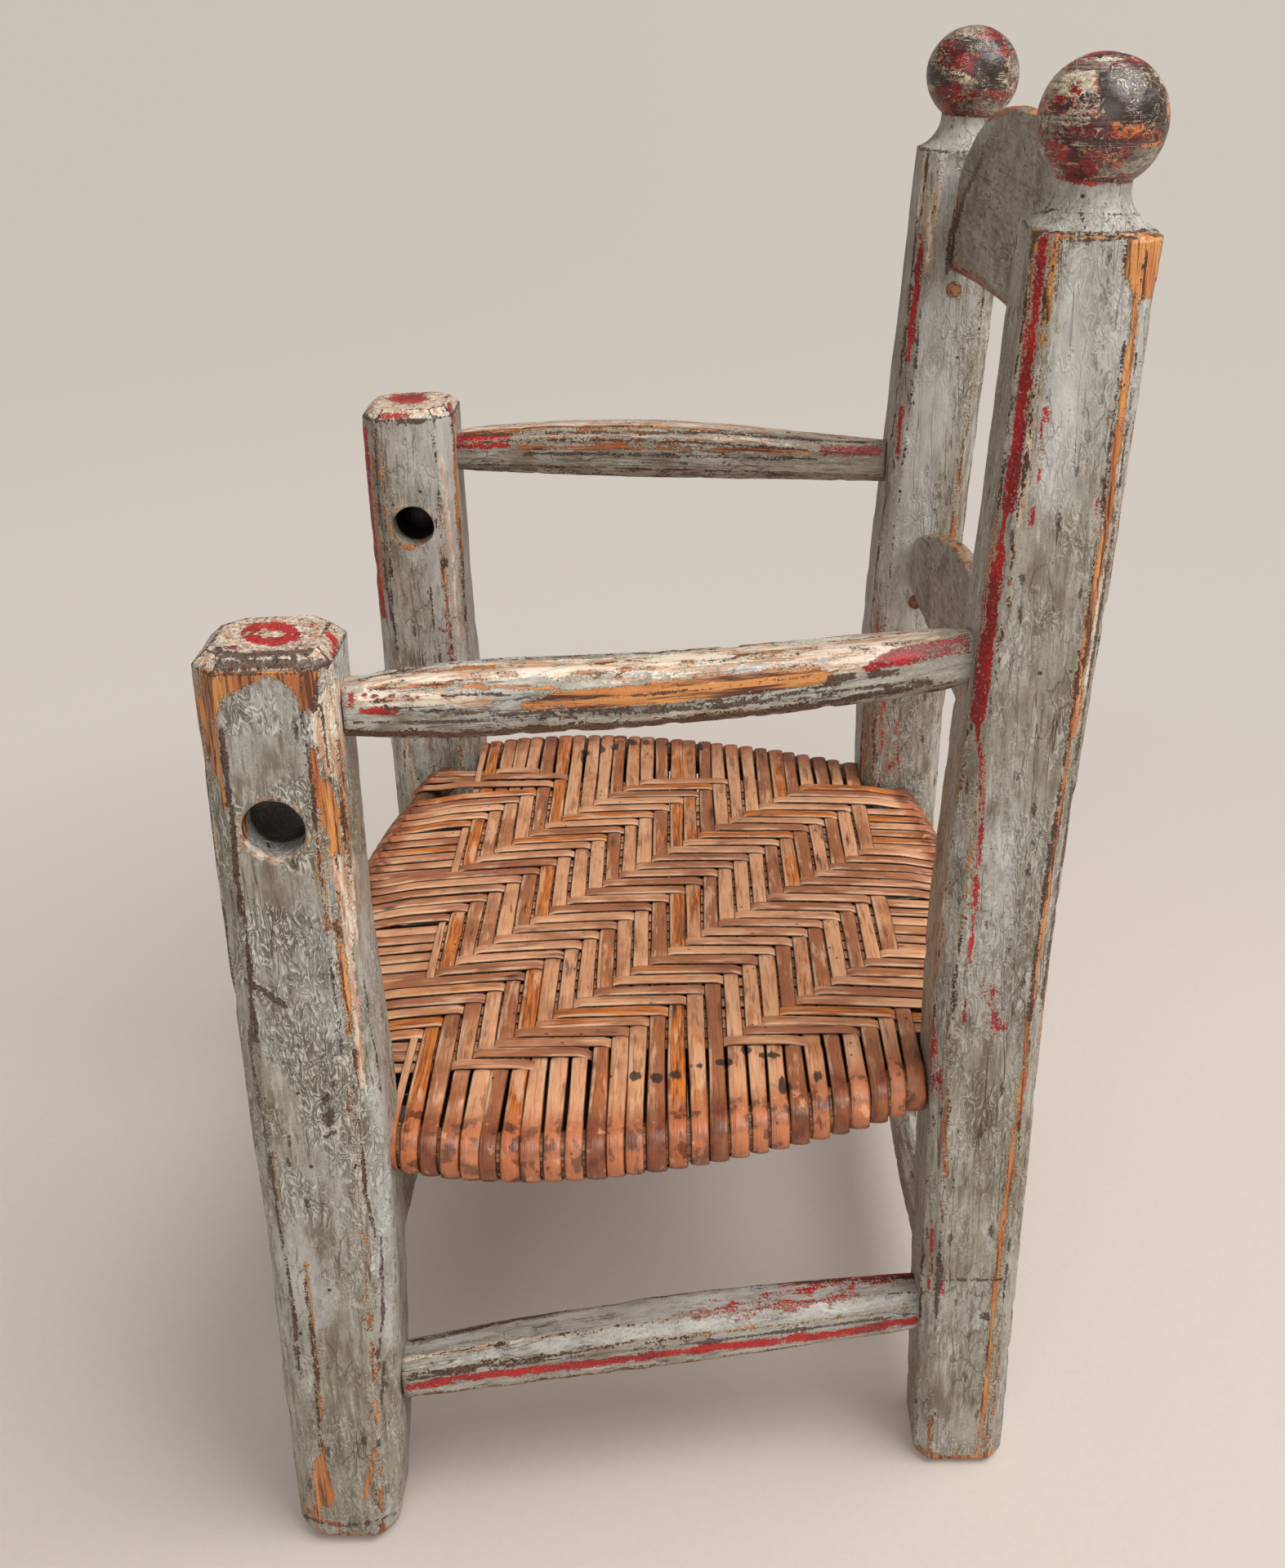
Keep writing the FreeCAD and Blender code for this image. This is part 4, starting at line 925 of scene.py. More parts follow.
def back_post_half(height):
    low = np.minimum(1, height / BACK_POST_MIDDLE)
    high = np.maximum(0, (height - BACK_POST_MIDDLE) / (SHOULDER - BACK_POST_MIDDLE))
    return BACK_FOOT_HALF + BACK_SWELL * low - BACK_TAPER * high


def finial_radius(height):
    # The turned part's radius above the shoulder, along its own axis: cove, neck and ball
    if height <= COVE_HEIGHT:
        return COVE_EDGE - math.sqrt(COVE_RADIUS ** 2 - (COVE_RADIUS - height) ** 2)
    if height <= BALL_UNDER:
        return NECK_RADIUS
    return math.sqrt(max(BALL_RADIUS ** 2 - (height - BALL_RISE) ** 2, 0))


def finial_rings(octagon, base, axis):
    # From the post's octagon to a round neck and the ball
    turns = np.linspace(math.asin((BALL_UNDER - BALL_RISE) / BALL_RADIUS), math.pi / 2 - 0.06, 44)
    rises = np.concatenate([np.arange(0, 4, 0.4), np.arange(4, BALL_UNDER - 0.2, 0.9),
                            BALL_RISE + BALL_RADIUS * np.sin(turns)])
    reach = np.hypot(octagon[:, 0], octagon[:, 1])
    angle = np.arctan2(octagon[:, 1], octagon[:, 0])
    off_even = (full_turn(len(reach)) + angle[0] - angle + math.pi) % (2 * math.pi) - math.pi
    rings = []
    for rise_up in rises:
        size = np.full(len(reach), finial_radius(rise_up))
        if rise_up < 6:
            size = np.minimum(reach, size)
        turn = angle + rise(rise_up, 1, 12) * off_even
        flat = np.c_[size * np.cos(turn), size * np.sin(turn) * math.cos(LEAN),
                     -size * np.sin(turn) * math.sin(LEAN)]
        rings.append(base + flat + axis * rise_up)
    return rings


def back_post(side, name, spacing, counts, seed):
    stations = foot_stations(back_post_half, BACK_FOOT_ROUNDING, (0, 0.5, 1.2, 2.2, 3.6))
    stations += post_levels(5.5, SHOULDER - 1, spacing, back_post_half)
    rings = post_rings(stations, BACK_POST_SHARE, back_post_out, back_post_y, counts,
                       lambda height, half: 1.1)
    axis = np.array([0, math.sin(LEAN), math.cos(LEAN)])
    base = np.array([back_post_out(SHOULDER + COVE_HEIGHT), back_post_y(SHOULDER), SHOULDER])
    octagon = octagon_ring(back_post_half(SHOULDER), BACK_POST_SHARE, *counts, 1.1)
    piece = tube(name, rings + finial_rings(octagon, base, axis))
    points = places(piece)
    heights = points[:, 2]
    across = from_axis(points, 1, back_post_out, back_post_y)

    def nearness(reach):
        near = arris_nearness(across, back_post_half(heights), BACK_POST_SHARE, reach)
        return near * (heights < SHOULDER)

    hand_made(piece, nearness(4), seed, 0.25, 0.8)
    points = places(piece)
    up = (points - base) @ axis
    near = np.maximum(nearness(5), close_to(up - 0.6, 1.6))
    if side > 0:
        fuller = 1.6 * rise(heights, 260, 440) * (1 - rise(heights, SHOULDER, SHOULDER + 8))
        points[:, 1] += fuller * np.clip(across[:, 1] / 20, 0, 1)
    stand(piece, points, side)

    worn = wear(points, near, seed + 10, 0.8)
    on_neck = (up > 0.8) & (up < BALL_UNDER)
    on_ball = up >= BALL_UNDER - 0.5
    for layer in LAYERS:
        worn[layer] = np.where(on_neck, worn[layer] * 0.5, worn[layer])
    worn["pale"] = np.where(on_neck, 0.56, worn["pale"])
    banded = points * (0.8, 0.8, 2.2)
    for layer, size, middle in (("red", 34, 0.52), ("dark", 30, 0.4), ("cream", 26, 0.42),
                                ("bare", 32, 0.36)):
        field = middle + 0.24 * drift(banded, size, seed + 30 + size)
        worn[layer] = np.where(on_ball, np.clip(field, 0, 1), worn[layer])
    more(worn, "dark", 0.62 * close_to(up - BALL_UNDER, 1.2))
    more(worn, "bare", rise(-heights, -12, -2) * (0.5 + 0.2 * drift(points, 18, seed + 22)))

    # Each ball's left half has less made-up wear, under its marks
    left_half = on_ball & (points[:, 0] > base[0] * side - 2)
    for layer in LAYERS:
        worn[layer] = np.where(left_half, worn[layer] * 0.86, worn[layer])
    paint(piece, MARKS[name], worn, SOFT)
    dress(piece, name, PUTTY, points + (0, seed * 37, 0), 0.42, (BALL,))
    centres = np.empty(len(piece.data.polygons) * 3)
    piece.data.polygons.foreach_get("center", centres)
    centres = centres.reshape(-1, 3) / MM * (side, 1, 1)
    ball_faces = (centres - base) @ axis > BALL_UNDER - 0.4
    piece.data.polygons.foreach_set("material_index", ball_faces.astype(np.int32))


# Arms and stretchers

def swollen(shares, halves):
    curve = np.polyfit(shares, halves, len(shares) - 1)
    return lambda share: np.polyval(curve, share)


ARM_HEIGHT, SIDE_STRETCHER_HEIGHT, FRONT_STRETCHER_HEIGHT, BACK_STRETCHER_HEIGHT = 395, 79.5, 93, 64.5
ARM_HALF = swollen([0, 0.2, 0.42, 0.7, 1], [10.1, 12.9, 14.2, 12.9, 10.1])
LEFT_ARM_HALF = swollen([0, 0.2, 0.45, 0.75, 1], [9.9, 12.7, 12.6, 12.2, 9.6])
STRETCHER_HALF = swollen([0, 0.5, 1], [11, 13.5, 11])
BAR_SHARE = 0.45


def upwards(half_at, lift_share):
    # A bar that swells upwards over a nearly straight underside
    return lambda share: lift_share * (half_at(share) - half_at(0))


def hanging(share):
    # The left arm is more even, and hangs a little towards the back
    share = np.clip(share, 0, 1)
    return -17 * share ** 1.5 * (1 - share)


def between_posts(side, height):
    # From a front post's back face to a back post's front face
    return ((side * front_post_out(height), front_post_y(height) + front_post_half(height) - 1, height),
            (side * back_post_out(height), back_post_y(height) - back_post_half(height) + 1, height))


def bar(name, ends, half_at, lift_at, seed, spacing):
    # An octagonal bar between two points
    start, end = np.array(ends, float)
    length = np.linalg.norm(end - start)
    way = (end - start) / length
    side_way = np.cross(way, [0, 0, 1])
    rings = []
    for share in np.linspace(0, 1, int(length / spacing)):
        ring = octagon_ring(half_at(share), BAR_SHARE, 9, 6, 0.9)
        centre = start + (end - start) * share + (0, 0, lift_at(share))
        rings.append(centre + ring[:, :1] * side_way + ring[:, 1:] * np.array([0, 0, 1]))
    piece = tube(name, rings)
    points = places(piece)
    along = (points - start) @ way
    across = np.c_[(points - start) @ side_way, points[:, 2] - start[2] - lift_at(along / length)]
    near = arris_nearness(across, half_at(along / length), BAR_SHARE, 3.5)
    hand_made(piece, near, seed, 0.3, 0.7)
    grain = np.c_[across, along]
    return piece, grain, wear((grain + (0, seed * 31, 0)) * (1, 1, 0.3), near, seed + 10, 0.9)


def finish_bar(piece, name, grain, worn, seed):
    paint(piece, MARKS.get(name, {}), worn, SHARP)
    dress(piece, name, PUTTY, grain + (0, seed * 31, 0), 0.2)


def arm(side, name, seed):
    half_at, lift_at = (LEFT_ARM_HALF, hanging) if side > 0 else (ARM_HALF, upwards(ARM_HALF, 0.8))
    piece, grain, worn = bar(name, between_posts(side, ARM_HEIGHT), half_at, lift_at, seed, 1.7)

    def patchy(stretched, size, step):
        return drift(grain * (1, 1, stretched), size, seed + step)

    top, low = rise(grain[:, 1], 5, 9), rise(-grain[:, 1], 5, 9)
    more(worn, "cream", top * (0.5 + 0.12 * patchy(0.12, 8, 30)))
    more(worn, "bare", top * (0.24 + 0.16 * patchy(0.1, 6, 31)))
    # The dark layer on the arm's underside is painted shade
    more(worn, "dark", low * (0.46 + 0.15 * patchy(0.4, 20, 32)))
    finish_bar(piece, name, grain, worn, seed)


def stretcher(name, ends, seed, lift_share=0):
    lift_at = upwards(STRETCHER_HALF, lift_share)
    piece, grain, worn = bar(name, ends, STRETCHER_HALF, lift_at, seed, 2.2)
    worn["bare"] *= 0.78
    finish_bar(piece, name, grain, worn, seed)


def cross_stretcher(name, height, out_at, back_at, half_at, seed):
    reach, y = out_at(height) - half_at(height) + 1, back_at(height)
    stretcher(name, ((-reach, y, height), (reach, y, height)), seed)


# Slats

UPPER_SLAT_HALF, UPPER_SLAT_ENDS, UPPER_SLAT_LOW, UPPER_SLAT_TOP = 118.2, (496, 543), 501, 581
LOWER_SLAT_HALF, LOWER_SLAT_ENDS, LOWER_SLAT_LOW, LOWER_SLAT_TOP = 122.2, (329.6, 358.5), 321, 383
UPPER_CROWN_HALF, UPPER_CROWN_SAG, LOWER_TOP_SAG = 50, 2.5, 24.5
UPPER_SHOULDER_RADIUS, UPPER_SHOULDER_OUT, UPPER_SHOULDER_HEIGHT = 102.8, 40.1, 476.2
SLAT_HALF_THICKNESS, SLAT_ROUNDING, SLAT_BOW = 4.5, 2.6, 5


def arc_drop(half, sag, x):
    ring = (half * half + sag * sag) / (2 * abs(sag))
    return math.copysign(1, sag) * (ring - np.sqrt(ring * ring - x * x))


def upper_top(x):
    # A slight crown in the middle, and a round shoulder on each side
    x = min(abs(x), 122)
    if x < UPPER_CROWN_HALF:
        return UPPER_SLAT_TOP - arc_drop(UPPER_CROWN_HALF, UPPER_CROWN_SAG, x)
    return UPPER_SHOULDER_HEIGHT + math.sqrt(UPPER_SHOULDER_RADIUS ** 2 - (x - UPPER_SHOULDER_OUT) ** 2)


def lower_top(x):
    return LOWER_SLAT_TOP - arc_drop(LOWER_SLAT_HALF, LOWER_TOP_SAG, min(abs(x), LOWER_SLAT_HALF))


def slat(name, half, ends, low_middle, top_at, seed):
    middle = sum(ends) / 2

    def low_at(x):
        return low_middle - arc_drop(half, low_middle - ends[0], min(abs(x), half))

    rings, turns = [], np.linspace(0, math.pi, 9)[1:-1]
    for x in np.linspace(-half - 3, half + 3, 120):
        top, low = top_at(x) - middle - SLAT_ROUNDING, low_at(x) - middle + SLAT_ROUNDING
        face = np.linspace(low, top, 40)
        thick = np.concatenate([np.full(40, -1), -np.cos(turns), np.ones(40), np.cos(turns)])
        up = np.concatenate([face, top + SLAT_ROUNDING * np.sin(turns), face[::-1],
                             low - SLAT_ROUNDING * np.sin(turns)])
        back = SLAT_HALF_THICKNESS * thick + SLAT_BOW - arc_drop(half, SLAT_BOW, x)
        rings.append(np.c_[np.full(len(up), x),
                           back_post_y(middle) + back * math.cos(LEAN) + up * math.sin(LEAN),
                           middle + up * math.cos(LEAN) - back * math.sin(LEAN)])
    piece = tube(name, rings)
    points = places(piece)
    edge, edge_low = [close_to(points[:, 2] - np.array([line(x) for x in points[:, 0]]), reach)
                      for line, reach in ((top_at, 5), (low_at, 4))]
    near = np.maximum(edge, edge_low)
    hand_made(piece, near, seed, 0.35, 0.5)
    grain = (points[:, [1, 2, 0]] + (0, seed * 41, 0)) * (1, 1, 2.2)
    worn = wear(grain, near, seed + 10, 0.9)
    worn["bare"] *= 0.8
    more(worn, "bare", edge * (0.62 + 0.2 * drift(grain * (1, 1, 0.4), 26, seed + 31)))
    more(worn, "red", edge_low * (0.42 + 0.25 * drift(grain * (1, 1, 0.4), 30, seed + 32)))
    paint(piece, MARKS[name], worn, SHARP)
    dress(piece, name, PUTTY, grain, 0.08)


def slat_peg(side, name, low_end, seed):
    height, turns = low_end - 8, full_turn(28)
    start = back_post_out(height) - back_post_half(height) - 1
    rings = []
    for inset, radius in ((0, 2.4), (0.1, 3.2), (0.5, 3.9), (2, 4), (8, 4), (11, 4)):
        size = radius * (1 + 0.03 * np.sin(3 * turns + seed))
        rings.append(np.c_[np.full(28, side * (start + inset)), back_post_y(height) + size * np.cos(turns),
                           height + size * np.sin(turns)])
    piece = tube(name, rings)
    dress(piece, name, RAIL_WOOD, places(piece)[:, [1, 2, 0]] + (0, seed * 11, 0))


# Seat rails. Each side rail bows outwards in two arcs that meet at its peak

SEAT = 200
RAIL_START, RAIL_END = np.array([188, -121.1]), np.array([149.06, 106.2])
RAIL_BOW, PEAK_SHARE, RAIL_SIDES = 23, 0.4, 24
SIDE_RAIL_RADIUS, CROSS_RAIL_RADIUS = 9.2, 7.3
rail_run = RAIL_END - RAIL_START
rail_chord = np.linalg.norm(rail_run)
rail_way = rail_run / rail_chord
rail_out = np.array([rail_way[1], -rail_way[0]])
peak = RAIL_START + rail_run * PEAK_SHARE + rail_out * RAIL_BOW


def rail_bend(share):
    length = rail_chord * share
    radius = (length ** 2 + RAIL_BOW ** 2) / (2 * RAIL_BOW)
    return radius, peak - rail_out * radius


FRONT_BEND, BACK_BEND = rail_bend(PEAK_SHARE), rail_bend(1 - PEAK_SHARE)


def side_rail_at(y):
    # How far out the rail lies, and how much its slant stretches a section
    radius, centre = FRONT_BEND if y < peak[1] else BACK_BEND
    reach = math.sqrt(radius ** 2 - (y - centre[1]) ** 2)
    return centre[0] + reach, radius / reach


def cross_rail_at(x, end_y, half_length, bow, outward):
    ring = (half_length ** 2 + bow ** 2) / (2 * bow)
    reach = math.sqrt(ring ** 2 - x * x)
    return end_y + outward * (bow + reach - ring), ring / reach


def front_rail_at(x):
    return cross_rail_at(x, end_y=-136.4, half_length=167.5, bow=27, outward=-1)


def back_rail_at(x):
    return cross_rail_at(x, end_y=128.6, half_length=126.6, bow=11, outward=1)


def rail(name, line, radius, seed):
    line = np.array(line)
    ways = np.gradient(line, axis=0)
    ways /= np.linalg.norm(ways, axis=1)[:, None]
    rings, turns = [], full_turn(RAIL_SIDES)
    for index, (point, way) in enumerate(zip(line, ways)):
        size = radius * (1 + 0.012 * math.sin(index * 0.7) + 0.01 * np.sin(3 * turns + index * 0.05))
        rings.append(point + np.outer(size * np.cos(turns), [way[1], -way[0], 0])
                     + np.outer(size * np.sin(turns), [0, 0, 1]))
    piece = tube(name, rings)
    steps = np.append(np.repeat(np.arange(len(line)) * 4.0, RAIL_SIDES), [0, len(line) * 4.0])
    round_it = np.append(np.tile(np.arange(RAIL_SIDES) * radius * 0.26, len(line)), [0, 0])
    grain = np.c_[places(piece)[:, 2] - SEAT, round_it, steps]
    dress(piece, name, RAIL_WOOD, grain + (0, seed * 53, 0))


# Splints. The paths and the weave are worked out here, and the strips are swept in Geometry Nodes

WEAVE_LEVEL, LIFT = 9.3, 0.95
CROSS_ROUND, LONG_ROUND = 10.25, 8.35
TOP_STEP, LOW_STEP, RAMP_HALF, PAST_LAST = 1.9, 3.6, 3.6, 9
CROSS_WIDTH, LONG_WIDTH, CORNER_WIDTH, STRIP_THICKNESS = 7.75, 7.55, 7.4, 1.7
CROSS_COUNT, CROSS_FIRST, CROSS_PITCH, NARROW_STRIP_Y = 26, -110.4, 8.48, -116.6
LONG_COUNT, LONG_FIRST, LONG_PITCH, LONG_BOW, BOW_MIDDLE, BOW_HALF = 29, 116, 8.65, 6, 4.6, 105
WEAVE_REPEAT, WEAVE_OVER = 12, 6
ORANGE_CROSS, ORANGE_LONG = (0, 5, 13), (1, 21, 24, 28)
# Short strips: number, distance out and where each ends at the back
SHORT_STRIPS = [(-1, 124, 82), (-2, 132, 57), (-3, 139.5, -36), (-4, 148, -62),
                (29, -133.5, 57), (30, -143.5, -60), (31, -152, -80)]
HALF_ROUND = np.linspace(math.pi / 2, -math.pi / 2, 15)[1:-1]
chance = np.random.default_rng(41)


def cross_y(i):
    # The last one, number -1, is narrow and lies close beside the front posts
    return CROSS_FIRST + CROSS_PITCH * i if i >= 0 else NARROW_STRIP_Y


def long_x(k, y):
    # The long strips bow towards the sitter's left at the front and back
    bow = LONG_BOW * ((y - BOW_MIDDLE) / BOW_HALF) ** 2
    return LONG_FIRST - LONG_PITCH * k + bow * (abs(k - 14) <= 15)


def cross_is_over(i, k):
    return (i - k) % WEAVE_REPEAT < WEAVE_OVER


def weave_height(crossings, at):
    # crossings: places along the strip and whether it is over there, in order
    spots = [spot for spot, over in crossings]
    levels = [WEAVE_LEVEL + (LIFT if over else -LIFT) for spot, over in crossings]
    height = np.full(len(at), levels[0])
    for spot, next_spot, level_here, next_level in zip(spots, spots[1:], levels, levels[1:]):
        if level_here != next_level:
            middle = (spot + next_spot) / 2
            height += rise(at, middle - RAMP_HALF, middle + RAMP_HALF) * (next_level - level_here)
    return height


def steps_between(start, end, spacing):
    return np.linspace(start, end, int((end - start) / spacing))


class Path:
    # A strip's path: its points, where its face looks, and how bent it is
    def __init__(self, place_of, lengthwise):
        self.place_of, self.lengthwise = place_of, lengthwise
        self.points, self.ups, self.bends = [], [], []

    def add(self, along, height, out, up, bend):
        self.points.append(self.place_of(along, SEAT + height))
        self.ups.append((0, out, up) if self.lengthwise else (out, 0, up))
        self.bends.append(bend)

    def run(self, along, heights, face):
        # Along the seat's top (face 1) or its underside (face -1)
        for step, height in zip(along, heights):
            self.add(step, face * height, 0, face, 0.0)

    def wrap(self, rail_here, radius, end, turns):
        # Round a rail, on its far side (end 1) or its near side (end -1)
        centre, stretch = rail_here
        for turn in turns:
            out = end * math.cos(turn)
            self.add(centre + radius * stretch * out, radius * math.sin(turn), out, math.sin(turn), 1.0)


def closed_path(place_of, lengthwise, top, low, first, last, radius):
    # Over the top, round one rail, back underneath and round the other
    path = Path(place_of, lengthwise)
    path.run(*top, 1)
    path.wrap(last, radius, 1, HALF_ROUND)
    path.run(low[0][::-1], low[1][::-1], -1)
    path.wrap(first, radius, -1, HALF_ROUND[::-1])
    return path


class Strands:
    # Gathers the paths of many strips and their attributes in one mesh of edges
    def __init__(self):
        self.points, self.edges, self.ups = [], [], []
        self.amounts = {name: [] for name in ("breadth", "tone", "orange", "bend", "along", "strand")}

    def add(self, path, closed, bends, tone, orange, breadth):
        first, count = len(self.points), len(path.points)
        gaps = np.linalg.norm(np.diff(path.points, axis=0), axis=1)
        self.points += path.points
        self.ups += path.ups
        self.edges += [(first + n, first + n + 1) for n in range(count - 1)]
        if closed:
            self.edges.append((first + count - 1, first))
        number = len(self.edges) * 0.37 % 5
        along = np.append(0, np.cumsum(gaps)) * MM + number
        for name, amount in (("bend", bends), ("tone", tone), ("orange", orange), ("breadth", breadth),
                             ("along", along), ("strand", number * 0.1)):
            self.amounts[name] += list(np.broadcast_to(amount, count))

    def sweep(self, name, width):
        piece = new_mesh(name, self.points, self.edges, [])
        for title, amounts in self.amounts.items():
            store(piece, title, np.array(amounts, float))
        store(piece, "up", np.array(self.ups, float))
        weaving = piece.modifiers.new("splints", "NODES")
        weaving.node_group = splint_tree()
        sizes = {"Strip width": width * MM, "Strip thickness": STRIP_THICKNESS * MM}
        for item in weaving.node_group.interface.items_tree:
            if item.in_out == "INPUT" and item.name in sizes:
                weaving[item.identifier] = sizes[item.name]
        evaluated_mesh(piece, weaving)
        face_outwards(piece)
        dirt_and_painted_shade(piece)
        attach(piece, "root")
        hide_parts(name)


def splint_tree():
    # Sweeps a flat oval along every path, at the path's own breadth
    title = "splint strips"
    if title in bpy.data.node_groups:
        return bpy.data.node_groups[title]
    tree = bpy.data.node_groups.new(title, "GeometryNodeTree")
    for name, way, kind in (("Geometry", "INPUT", "Geometry"), ("Strip width", "INPUT", "Float"),
                            ("Strip thickness", "INPUT", "Float"), ("Geometry", "OUTPUT", "Geometry")):
        tree.interface.new_socket(name, in_out=way, socket_type="NodeSocket" + kind)

    def add(kind, output, given=None, **settings):
        return add_node(tree, kind, given, **settings).outputs[output]

    def named(name, kind):
        return add("GeometryNodeInputNamedAttribute", "Attribute", {"Name": name}, data_type=kind)

    def half_of(amount, size):
        half = add("ShaderNodeMath", 0, {0: size, 1: 0.5}, operation="MULTIPLY")
        return add("ShaderNodeMath", 0, {0: amount, 1: half}, operation="MULTIPLY")

    # The strip's section
    given = add_node(tree, "NodeGroupInput").outputs
    section = add("GeometryNodeCurvePrimitiveCircle", 0, {"Resolution": 10, "Radius": 1})
    apart = add_node(tree, "ShaderNodeSeparateXYZ", {0: add("GeometryNodeInputPosition", 0)}).outputs
    section = add("GeometryNodeStoreNamedAttribute", 0, {
        "Geometry": section, "Name": "across", "Value": apart[0]}, data_type="FLOAT", domain="POINT")
    flat = add("ShaderNodeCombineXYZ", 0, {0: half_of(apart[1], given["Strip thickness"]),
                                           1: half_of(apart[0], given["Strip width"])})
    section = add("GeometryNodeSetPosition", 0, {"Geometry": section, "Position": flat})

    # The paths, with their faces turned as the weave has them
    path = add("GeometryNodeMeshToCurve", 0, {0: given["Geometry"]})
    path = add("GeometryNodeSetCurveNormal", 0, {"Curve": path, "Normal": named("up", "FLOAT_VECTOR")},
               mode="FREE")
    swept = add("GeometryNodeCurveToMesh", 0, {
        "Curve": path, "Profile Curve": section, "Scale": named("breadth", "FLOAT"), "Fill Caps": True})
    real = add("GeometryNodeRealizeInstances", 0, {0: swept})
    coat = add("GeometryNodeSetMaterial", 0, {"Geometry": real, "Material": SPLINT})
    add_node(tree, "NodeGroupOutput", {0: coat})
    return tree


# Dark smudges on the seat, in the photograph's pixels: centre, width and height
SMUDGES = [(777, 1318, 14, 10), (802, 1320, 14, 14), (827, 1316, 13, 13), (855, 1305, 18, 7),
           (886, 1301, 20, 8), (915, 1286, 16, 8), (718, 922, 9, 8), (737, 918, 9, 9),
           (753, 915, 9, 9), (774, 909, 10, 8), (791, 909, 9, 7), (817, 911, 8, 7), (856, 915, 10, 8),
           (749, 1318, 5, 5), (940, 1292, 30, 6), (960, 1330, 16, 20), (1000, 1318, 10, 16)]


def dirt_and_painted_shade(piece):
    points, ways = places(piece), outward_ways(piece)
    x, y = seen(points)
    total = 0.16 + 0.14 * drift(points * (1, 1, 0.5), 40, 61)
    for middle_x, middle_y, wide, high in SMUDGES:
        apart = np.hypot((x - middle_x) / wide, (y - middle_y) / high)
        total = np.maximum(total, (ways[:, 2] > 0) * np.clip(1.05 - 1.05 * apart, 0, 0.9))
    # Dirt and smudges, and painted shade: the lower half of each wrap round a rail is painted darker
    above = points[:, 2] - SEAT
    from_middle = np.abs(above)
    store(piece, "dirt_and_painted_shade", np.maximum(total, 0.34 * rise(-above, -5, 5) * (from_middle < 9)))
    # Painted shade on the strips' faces turned in towards the seat's middle, and on the lower layer seen
    # between the strips
    on_faces = from_middle > 5
    inner = np.clip(-1.6 * ways[:, 2] * np.sign(above) * on_faces, 0, 1)
    low = np.clip((WEAVE_LEVEL + LIFT * 0.2 - from_middle) / 1.6, 0, 1) * on_faces
    store(piece, "painted_weave_shade", np.maximum(inner, 0.3 * low))


def cross_splints():
    strands = Strands()
    for i in [*range(CROSS_COUNT), -1]:
        y = cross_y(i)
        out, stretch = side_rail_at(y)
        wander, slant = chance.uniform(-0.3, 0.3), chance.uniform(-0.5, 0.5)
        crossings = [(long_x(k, y), cross_is_over(i, k)) for k in range(LONG_COUNT)]
        crossings += [(x, cross_is_over(i, k)) for k, x, y_end in SHORT_STRIPS if y < y_end + 3]
        crossings.sort()
        crossings = [(-out, True), (crossings[0][0] - PAST_LAST, True), *crossings,
                     (crossings[-1][0] + PAST_LAST, True), (out, True)]

        def layer(spacing):
            steps = steps_between(-out, out, spacing)
            end_lift = rise(np.abs(steps), out - 26, out - 2) * (CROSS_ROUND - WEAVE_LEVEL - LIFT)
            return steps, weave_height(crossings, steps) + end_lift

        def place_of(along, z):
            return along, y + wander + slant * along / 180 + 0.25 * math.sin(along / 31 + i), z

        path = closed_path(place_of, False, layer(TOP_STEP), layer(LOW_STEP), (-out, stretch),
                           (out, stretch), CROSS_ROUND)
        points = np.array(path.points)
        bends = np.maximum(path.bends, rise(np.abs(points[:, 0]), out - 30, out + 8))
        breadth = 1 + 0.07 * np.sin(points[:, 0] / 23 + i * 2) + chance.uniform(-0.07, 0.04)
        breadth = (breadth + 0.1 * (points[:, 2] < SEAT - 5)) * (1 if i >= 0 else 0.5)
        orange = 0.8 if i in ORANGE_CROSS else chance.uniform(0, 0.6)
        strands.add(path, True, bends, chance.uniform(0, 1), orange, breadth)
    strands.sweep("cross_splints", CROSS_WIDTH)


def long_splints():
    strands = Strands()
    for k in range(LONG_COUNT):
        front_rail, back_rail = front_rail_at(long_x(k, 0)), back_rail_at(long_x(k, 0))
        front, back = front_rail[0], back_rail[0]
        crossings = [(cross_y(i), not cross_is_over(i, k)) for i in range(-1, CROSS_COUNT)]
        crossings = [(front, crossings[0][1]), *crossings, (back, crossings[-1][1])]

        def layer(spacing):
            steps = steps_between(front, back, spacing)
            height = weave_height(crossings, steps)
            ease = rise(-steps, -front - 30, -front - 4) + rise(steps, back - 22, back - 3)
            return steps, height + ease * (LONG_ROUND - height)

        wander = chance.uniform(-0.25, 0.25)

        def place_of(along, z):
            return long_x(k, along) + wander + 0.25 * math.sin(along / 27 + k), along, z

        path = closed_path(place_of, True, layer(TOP_STEP), layer(LOW_STEP), front_rail, back_rail,
                           LONG_ROUND)
        points = np.array(path.points)
        ends = np.maximum(rise(-points[:, 1], -front - 14, -front), rise(points[:, 1], back - 10, back))
        breadth = 1 + 0.06 * np.sin(points[:, 1] / 19 + k * 2) + chance.uniform(-0.04, 0.04)
        breadth = breadth + 0.1 * (points[:, 2] < SEAT - 5)
        orange = 0.76 if k in ORANGE_LONG else chance.uniform(0, 0.6)
        strands.add(path, True, np.maximum(path.bends, ends), chance.uniform(0, 1), orange, breadth)
    strands.sweep("long_splints", LONG_WIDTH)


